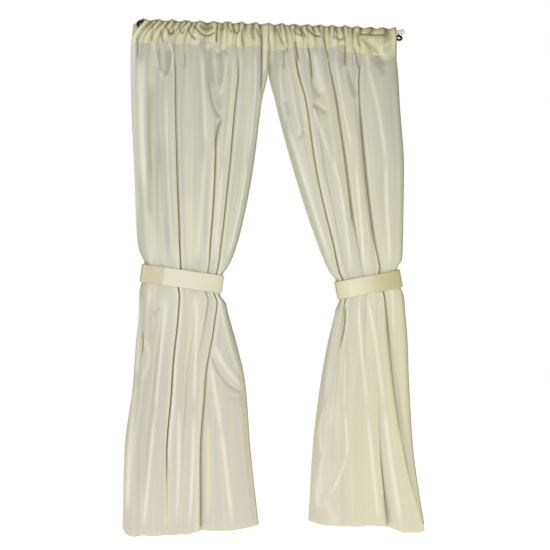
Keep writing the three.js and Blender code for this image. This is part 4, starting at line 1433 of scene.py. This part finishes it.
    def flat_pattern(self, points: np.ndarray, seam_row: int) -> np.ndarray:
        """Lays the cloth flat: mean run across the hanging rows, and mean climb from the hem.

        Args:
            points: The cloth's points.
            seam_row: The number of the seam's row.

        Returns:
            The flat pattern's u and v for each point.
        """
        across = np.linalg.norm(np.diff(points[:seam_row], axis=1), axis=-1).mean(axis=0)
        climb = np.linalg.norm(np.diff(points, axis=0), axis=-1).mean(axis=1)
        u = np.concatenate([[0], np.cumsum(across)])
        v = np.concatenate([[0], np.cumsum(climb)])
        u, v = u / u[-1] * CLOTH_WIDTH, v / v[seam_row] * CLOTH_HANG
        return np.stack(np.broadcast_arrays(u[None, :], v[:, None]), axis=-1)

    def build(self) -> bpy.types.Object:
        """Makes the curtain's sheet with its flat pattern, masks and thickness.

        Returns:
            The curtain's object.
        """
        points, tints, seam_row = self.surface()
        piece = make_piece(self.name, points, grid_faces(*points.shape[:2]))
        add_uv(piece, self.flat_pattern(points, seam_row))
        for name, values in self.masks(points, tints).items():
            add_mask(piece, name, values)
        thick = piece.modifiers.new("sheet", "SOLIDIFY")
        thick.thickness = SHEET_THICKNESS * MM
        thick.offset = 0.0
        return piece

    def dress(self, piece: bpy.types.Object, cloth: bpy.types.Material) -> None:
        """Gives the curtain its cloth, hangs it on the body and hides the model's part that it takes the
        place of.

        Args:
            piece: The curtain's object.
            cloth: Its material.
        """
        piece.data.materials.append(cloth)
        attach(piece, BODY)
        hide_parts(self.node)


def turned(profile: np.ndarray, sides: int) -> tuple[np.ndarray, list[list[int]]]:
    """Turns a profile once round the X axis.

    A profile point (x, r) goes to (x, -r cos a, r sin a). Its two ends lie on the axis.

    Args:
        profile: Places along the axis and radii.
        sides: Steps once round.

    Returns:
        Points and faces.
    """
    angle = np.linspace(0, 2 * np.pi, sides, endpoint=False)
    x = np.broadcast_to(profile[:, :1], (len(profile), sides))
    y = -profile[:, 1:] * np.cos(angle)
    z = profile[:, 1:] * np.sin(angle)
    body = np.stack([x, y, z], axis=-1)[1:-1].reshape(-1, 3)
    faces = grid_faces(len(profile) - 2, sides, wrap_columns=True).tolist()
    first, last = len(body), len(body) + 1
    ring = np.arange(sides)
    after = (ring + 1) % sides
    start = np.stack([np.full(sides, first), after, ring], axis=-1)
    far = (len(profile) - 3) * sides
    end = np.stack([np.full(sides, last), far + ring, far + after], axis=-1)
    poles = np.array([[profile[0, 0], 0, 0], [profile[-1, 0], 0, 0]])
    return np.concatenate([body, poles]), faces + start.tolist() + end.tolist()


def ring_of_wire(radius: float, wire: float, lean: float, around: int = 64, sides: int = 24) -> np.ndarray:
    """Finds a ring of round wire that faces the viewer and leans back at its top.

    At angle a round the ring and b round the wire, a point is at (r cos a, w sin b, r sin a) with
    r = radius + w cos b, turned about X by the lean.

    Args:
        radius: The ring's radius to the middle of its wire.
        wire: The wire's radius.
        lean: The lean in radians.
        around: Steps round the ring.
        sides: Steps round the wire.

    Returns:
        Points, as steps round the ring by steps round the wire by 3.
    """
    a = np.linspace(0, 2 * np.pi, around, endpoint=False)[:, None]
    b = np.linspace(0, 2 * np.pi, sides, endpoint=False)[None, :]
    r = radius + wire * np.cos(b)
    x, y, z = np.broadcast_arrays(r * np.cos(a), wire * np.sin(b), r * np.sin(a))
    turned_y = y * np.cos(lean) + z * np.sin(lean)
    turned_z = z * np.cos(lean) - y * np.sin(lean)
    return np.stack([x, turned_y, turned_z], axis=-1)


@dataclass
class RodSet:
    """The rod with a ring eye at each end and a turned knob on its right end.

    A ring's pair is its radius and its wire's, and the right ring leans back by an angle in degrees.
    """

    left_eye: Triple = (-525.5, 0.0, -4.0)
    left_ring: Pair = (11.5, 5.7)
    left_shank: float = 4.0
    right_eye: Triple = (552.0, 0.0, -25.0)
    right_ring: Pair = (12.0, 5.0)
    right_shank: float = 3.0
    right_shank_y: float = 5.0
    right_lean: float = 33.0
    knob_length: float = 19.0
    knob_radius: float = 12.0
    end_break: float = 1.6
    rod_cuts: int = 28
    sides: int = 48
    shank_sides: int = 24

    def rod(self) -> bpy.types.Object:
        """Turns the rod: a straight tube with softly broken ends.

        Returns:
            The rod's object.
        """
        start, end = ROD_ENDS
        shares = np.array([[0, 0], [0, 0.72], [0.06, 0.88], [0.2, 0.97], [0.45, 1.0]])
        rounding = shares * [self.end_break, ROD_RADIUS]
        head = rounding + [start, 0]
        tail = rounding[::-1] * [-1, 1] + [end, 0]
        cuts = np.linspace(start, end, self.rod_cuts + 2)[1:-1]
        middle = np.stack([cuts, np.full(len(cuts), ROD_RADIUS)], axis=-1)
        return make_piece("curtain_rod", *turned(np.concatenate([head, middle, tail]), self.sides))

    def knob(self) -> bpy.types.Object:
        """Turns the knob: a neck, a small collar, a round belly and a closed nose.

        Returns:
            The knob's object.
        """
        shares = np.array([
            [0, 0], [0, 0.5], [0.02, 0.5], [0.07, 0.52], [0.12, 0.62], [0.18, 0.78], [0.26, 0.9],
            [0.36, 0.97], [0.48, 1], [0.6, 0.98], [0.7, 0.92], [0.8, 0.81], [0.88, 0.67], [0.94, 0.48],
            [0.98, 0.27], [1, 0],
        ])
        profile = shares * [self.knob_length, self.knob_radius] + [ROD_ENDS[1] + SEAT_GAP, 0]
        return make_piece("rod_end_knob", *turned(profile, self.sides))

    def shank(self, length: float, radius: float) -> tuple[np.ndarray, list[list[int]]]:
        """Turns a straight shank along X, from 0 to its length, with softly broken ends."""
        shares = np.array([[0, 0], [0, 0.9], [0.1, 1], [0.8, 1], [0.84, 1], [0.97, 1], [1, 0.92], [1, 0]])
        return turned(shares * [length, radius], self.shank_sides)

    def eye(
        self, name: str, ring: np.ndarray, shank: np.ndarray, shank_faces: list[list[int]], place: Triple
    ) -> bpy.types.Object:
        """Joins a ring and its shank into one piece.

        Args:
            name: The piece's name.
            ring: The ring's points.
            shank: The shank's points.
            shank_faces: The shank's faces.
            place: The middle of the ring.

        Returns:
            The eye's object.
        """
        ring_faces = grid_faces(*ring.shape[:2], True, True)
        points = np.concatenate([ring.reshape(-1, 3), shank]) + np.array(place)
        start = ring.shape[0] * ring.shape[1]
        faces = ring_faces.tolist() + [[start + corner for corner in face] for face in shank_faces]
        return make_piece(name, points, faces)

    def left(self) -> bpy.types.Object:
        """Makes the left eye, whose shank runs along the rod's axis to the rod's end.

        Returns:
            The eye's object.
        """
        radius, wire = self.left_ring
        reach = ROD_ENDS[0] - SEAT_GAP - self.left_eye[0]
        points, faces = self.shank(reach - radius, self.left_shank)
        shank = points + [radius, 0, 0]
        return self.eye("left_ring_eye", ring_of_wire(radius, wire, 0.0), shank, faces, self.left_eye)

    def right(self) -> bpy.types.Object:
        """Makes the right eye, whose shank stands up from its leaning ring to the rod's underside.

        Returns:
            The eye's object.
        """
        radius, wire = self.right_ring
        lean = np.radians(self.right_lean)
        foot = radius * np.cos(lean)
        under = -np.sqrt(ROD_RADIUS**2 - (self.right_shank_y - self.right_shank) ** 2)
        points, faces = self.shank(under - SEAT_GAP - self.right_eye[2] - foot, self.right_shank)
        upright = points[:, [2, 1, 0]] * [-1, 1, 1] + [0, self.right_shank_y, foot]
        return self.eye("right_ring_eye", ring_of_wire(radius, wire, lean), upright, faces, self.right_eye)

    def build(self, paint: bpy.types.Material, metal: bpy.types.Material) -> list[bpy.types.Object]:
        """Makes all the pieces, dresses them, hangs them on the body and hides the model's parts they
        replace.

        Args:
            paint: The rod's and knob's material.
            metal: The eyes' material.

        Returns:
            The pieces.
        """
        made = [
            (self.rod(), "rod", paint, "rod_paint"),
            (self.knob(), "knob_right", paint, "rod_paint"),
            (self.left(), "eye_left", metal, "dark_metal"),
            (self.right(), "eye_right", metal, "dark_metal"),
        ]
        for piece, node, material, slot in made:
            piece.data.materials.append(material)
            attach(piece, BODY)
            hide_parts(node)
        return [piece for piece, *_ in made]


class Lamp(NamedTuple):
    """A soft oblong lamp: where it hangs, the point it faces, its width and height, power and colour."""

    name: str
    place: Triple
    aim: Triple
    size: Pair
    watts: float
    tint: Triple


LAMPS = (
    Lamp("tall_left", (-2.2, -2.3, -1.1), (-0.1, 0, -1.1), (0.35, 2.2), 23, (0.99, 0.99, 1.0)),
    Lamp("tall_right", (2.3, -2.2, -1.2), (0.1, 0, -1.1), (0.3, 2.2), 13, (1.0, 0.94, 0.76)),
    Lamp("wide_front", (0.2, -3.5, -0.6), (0, 0, -0.85), (1.6, 1.6), 35, (1.0, 0.985, 0.94)),
)


@dataclass
class Studio:
    """A pale floor, a white surround, soft lamps and the camera. Sizes are in metres."""

    floor_drop: float = 2.2
    floor_middle: float = 0.01
    floor_plain: float = 2.3
    floor_radius: float = 5.0
    floor_glow: float = 0.8
    floor_rings: int = 24
    floor_sides: int = 96
    lamps: tuple[Lamp, ...] = LAMPS
    surround: float = 0.365
    lens: float = 50.0
    eye: Triple = (-0.2446, -3.1878, -0.97)
    target: Triple = (0.03433, 0.0, -1.02949)
    roll: float = 0.4

    def floor(self) -> bpy.types.Object:
        """Lays a round pale floor that fades out to its rim.

        Returns:
            The floor's object.
        """
        angle = np.linspace(0, 2 * np.pi, self.floor_sides, endpoint=False)
        radius = np.linspace(self.floor_middle, self.floor_radius, self.floor_rings)[:, None]
        flat = np.stack([radius * np.cos(angle), radius * np.sin(angle)], axis=-1)
        points = np.concatenate([flat, np.full(flat.shape[:2] + (1,), -self.floor_drop)], axis=-1) / MM
        faces = grid_faces(self.floor_rings, self.floor_sides, wrap_columns=True)
        floor = make_piece("pale_floor", points, faces)
        graph = Graph("pale_floor")
        place = graph.add("TexCoord").outputs["Object"]
        reach = graph.add("VectorMath", {0: place}, operation="LENGTH").outputs["Value"]
        grain = graph.noise(place, (40, 40, 40), 2)
        colour = graph.blend(grain, linear(0.97, 0.97, 0.97), linear(0.985, 0.985, 0.98))
        cover = graph.add("BsdfDiffuse", {"Color": colour}).outputs[0]
        glow = graph.add("Emission", {"Color": colour, "Strength": self.floor_glow}).outputs[0]
        lit = graph.add("AddShader", {0: cover, 1: glow}).outputs[0]
        clear = graph.add("BsdfTransparent").outputs[0]
        share = graph.span(reach, self.floor_plain, self.floor_radius)
        fading = graph.add("MixShader", {0: share, 1: lit, 2: clear}).outputs[0]
        floor.data.materials.append(graph.finish(fading))
        return floor

    def world(self) -> None:
        """Surrounds the scene with soft white light and shows plain white behind it."""
        world = bpy.data.worlds.new("white_surround")
        bpy.context.scene.world = world
        world.use_nodes = True
        nodes, links = world.node_tree.nodes, world.node_tree.links
        nodes.clear()
        soft, plain = nodes.new("ShaderNodeBackground"), nodes.new("ShaderNodeBackground")
        soft.inputs["Strength"].default_value = self.surround
        soft.inputs["Color"].default_value = (1.0, 1.0, 1.0, 1.0)
        plain.inputs["Color"].default_value = (1.0, 1.0, 1.0, 1.0)
        seen = nodes.new("ShaderNodeLightPath").outputs["Is Camera Ray"]
        mix, out = nodes.new("ShaderNodeMixShader"), nodes.new("ShaderNodeOutputWorld")
        for start, end in ((seen, 0), (soft.outputs[0], 1), (plain.outputs[0], 2)):
            links.new(start, mix.inputs[end])
        links.new(mix.outputs[0], out.inputs["Surface"])

    def hang(self, lamp: Lamp) -> None:
        """Hangs a soft lamp that faces its point.

        Args:
            lamp: The lamp.
        """
        data = bpy.data.lights.new(lamp.name, "AREA")
        data.shape = "RECTANGLE"
        data.size, data.size_y = lamp.size
        data.energy = lamp.watts
        data.color = lamp.tint
        hung = bpy.data.objects.new(lamp.name, data)
        bpy.context.collection.objects.link(hung)
        hung.location = lamp.place
        hung.rotation_euler = (Vector(lamp.aim) - Vector(lamp.place)).to_track_quat("-Z", "Y").to_euler()

    def camera(self) -> None:
        """Sets the camera at the photograph's angle, rolled a little so that its right side lies lower."""
        data = bpy.data.cameras.new("front_view")
        data.lens = self.lens
        camera = bpy.data.objects.new("front_view", data)
        bpy.context.collection.objects.link(camera)
        ahead = (Vector(self.target) - Vector(self.eye)).normalized()
        level = ahead.to_track_quat("-Z", "Y").to_matrix()
        roll = Matrix.Rotation(np.radians(self.roll), 3, "Z")
        camera.matrix_world = Matrix.Translation(self.eye) @ (level @ roll).to_4x4()
        bpy.context.scene.camera = camera

    def build(self) -> None:
        """Sets up the whole studio: a tall lamp on each side of the camera and a wide one behind it."""
        bpy.context.scene.view_settings.view_transform = "Standard"
        self.floor()
        self.world()
        for lamp in self.lamps:
            self.hang(lamp)
        self.camera()


LEFT_BAND = TieBand(
    name="left_tie_band",
    node="tie_left",
    middle=(-351.8, -7.5, -1046),
    length=336.6,
    depth=52,
    fall=8,
    flat_length=0.78,
    gold=0.25,
    bends=tuple(Bend(*row) for row in (
        (-1, 0, 0.6), (-0.46, 1.5, 0.5), (-0.42, 2, 0.1), (0.22, 3, 0.05), (0.3, 2.5, 0.2), (1, 0, 0.35),
    )),
)
RIGHT_BAND = TieBand(
    name="right_tie_band",
    node="tie_right",
    middle=(431, -7, -1066.2),
    length=277,
    depth=52,
    fall=-11,
    flat_length=0.66,
    # Doubled cloth plus painted warm light.
    gold=0.7,
    bends=tuple(Bend(*row) for row in (
        (-1, 0, 0.4), (-0.7, 1.5, 0.2), (-0.62, 2.5, 0), (-0.2, 3, 0.1), (0.3, 2, 0.6), (1, 0, 0.9),
    )),
)
LEFT_CURTAIN = Curtain(
    name="left_curtain_cloth",
    node="curtain_left",
    sections=LEFT_SECTIONS,
    folds=LEFT_FOLDS,
    creases=LEFT_CREASES,
    pleats=LEFT_PLEATS,
    seam=LEFT_SEAM,
    pocket=(-508, -0.6),
    stands_out=52,
    tie=LEFT_BAND,
    rows=LEFT_ROWS,
    corners=((34, 34), (6, 6)),
    hem_lifts=((0, 5), (4, 2), (7, -3), (10, -2), (13, 6), (14, 6), (15, 0)),
    side_shades=(0, 0.5),
    lap_shade=0.9,
    lap_width=4.0,
    warm_light_tint=(0.0, 0.0),
    laps={
        "first tuck": ((150, 0.5), (400, 0.62), (570, 0.8), (735, 1)),
        "second tuck": ((940, 1), (1020, 0)),
        "third tuck": ((0, 0.8), (1000, 0.82), (1200, 0.7)),
    },
)
RIGHT_CURTAIN = Curtain(
    name="right_curtain_cloth",
    node="curtain_right",
    sections=RIGHT_SECTIONS,
    folds=RIGHT_FOLDS,
    creases=RIGHT_CREASES,
    pleats=RIGHT_PLEATS,
    seam=RIGHT_SEAM,
    pocket=(0.6, 535),
    stands_out=0,
    tie=RIGHT_BAND,
    rows=RIGHT_ROWS,
    corners=((6, 6), (44, 9)),
    hem_lifts=((6, 0), (8, 8), (12, 16), (13, 12), (14, -8), (15, 0)),
    side_shades=(0.08, 0.8),
    lap_shade=1.0,
    lap_width=6.5,
    # Painted warm light, stronger at the right edge.
    warm_light_tint=(0.1, 0.6),
    laps={"second tuck": ((830, 1), (910, 0))},
)


def main() -> None:
    """Builds the curtains, their bands, the rod set and the studio, and reports each piece."""
    logging.basicConfig(level=logging.INFO, format="%(name)s: %(message)s")
    cloth, band_cloth = CREAM_CLOTH.material(), BAND_CLOTH.material()
    for curtain in (LEFT_CURTAIN, RIGHT_CURTAIN):
        piece = curtain.build()
        curtain.dress(piece, cloth)
        LOG.info("%s with %d points", piece.name, len(piece.data.vertices))
        band = curtain.tie.build()
        curtain.tie.dress(band, band_cloth, piece)
        LOG.info("%s with %d points", band.name, len(band.data.vertices))
    for piece in RodSet().build(IVORY_PAINT.material(), BROWNED_METAL.material()):
        LOG.info("%s with %d points", piece.name, len(piece.data.vertices))
    Studio().build()


if __name__ == "__main__":
    main()
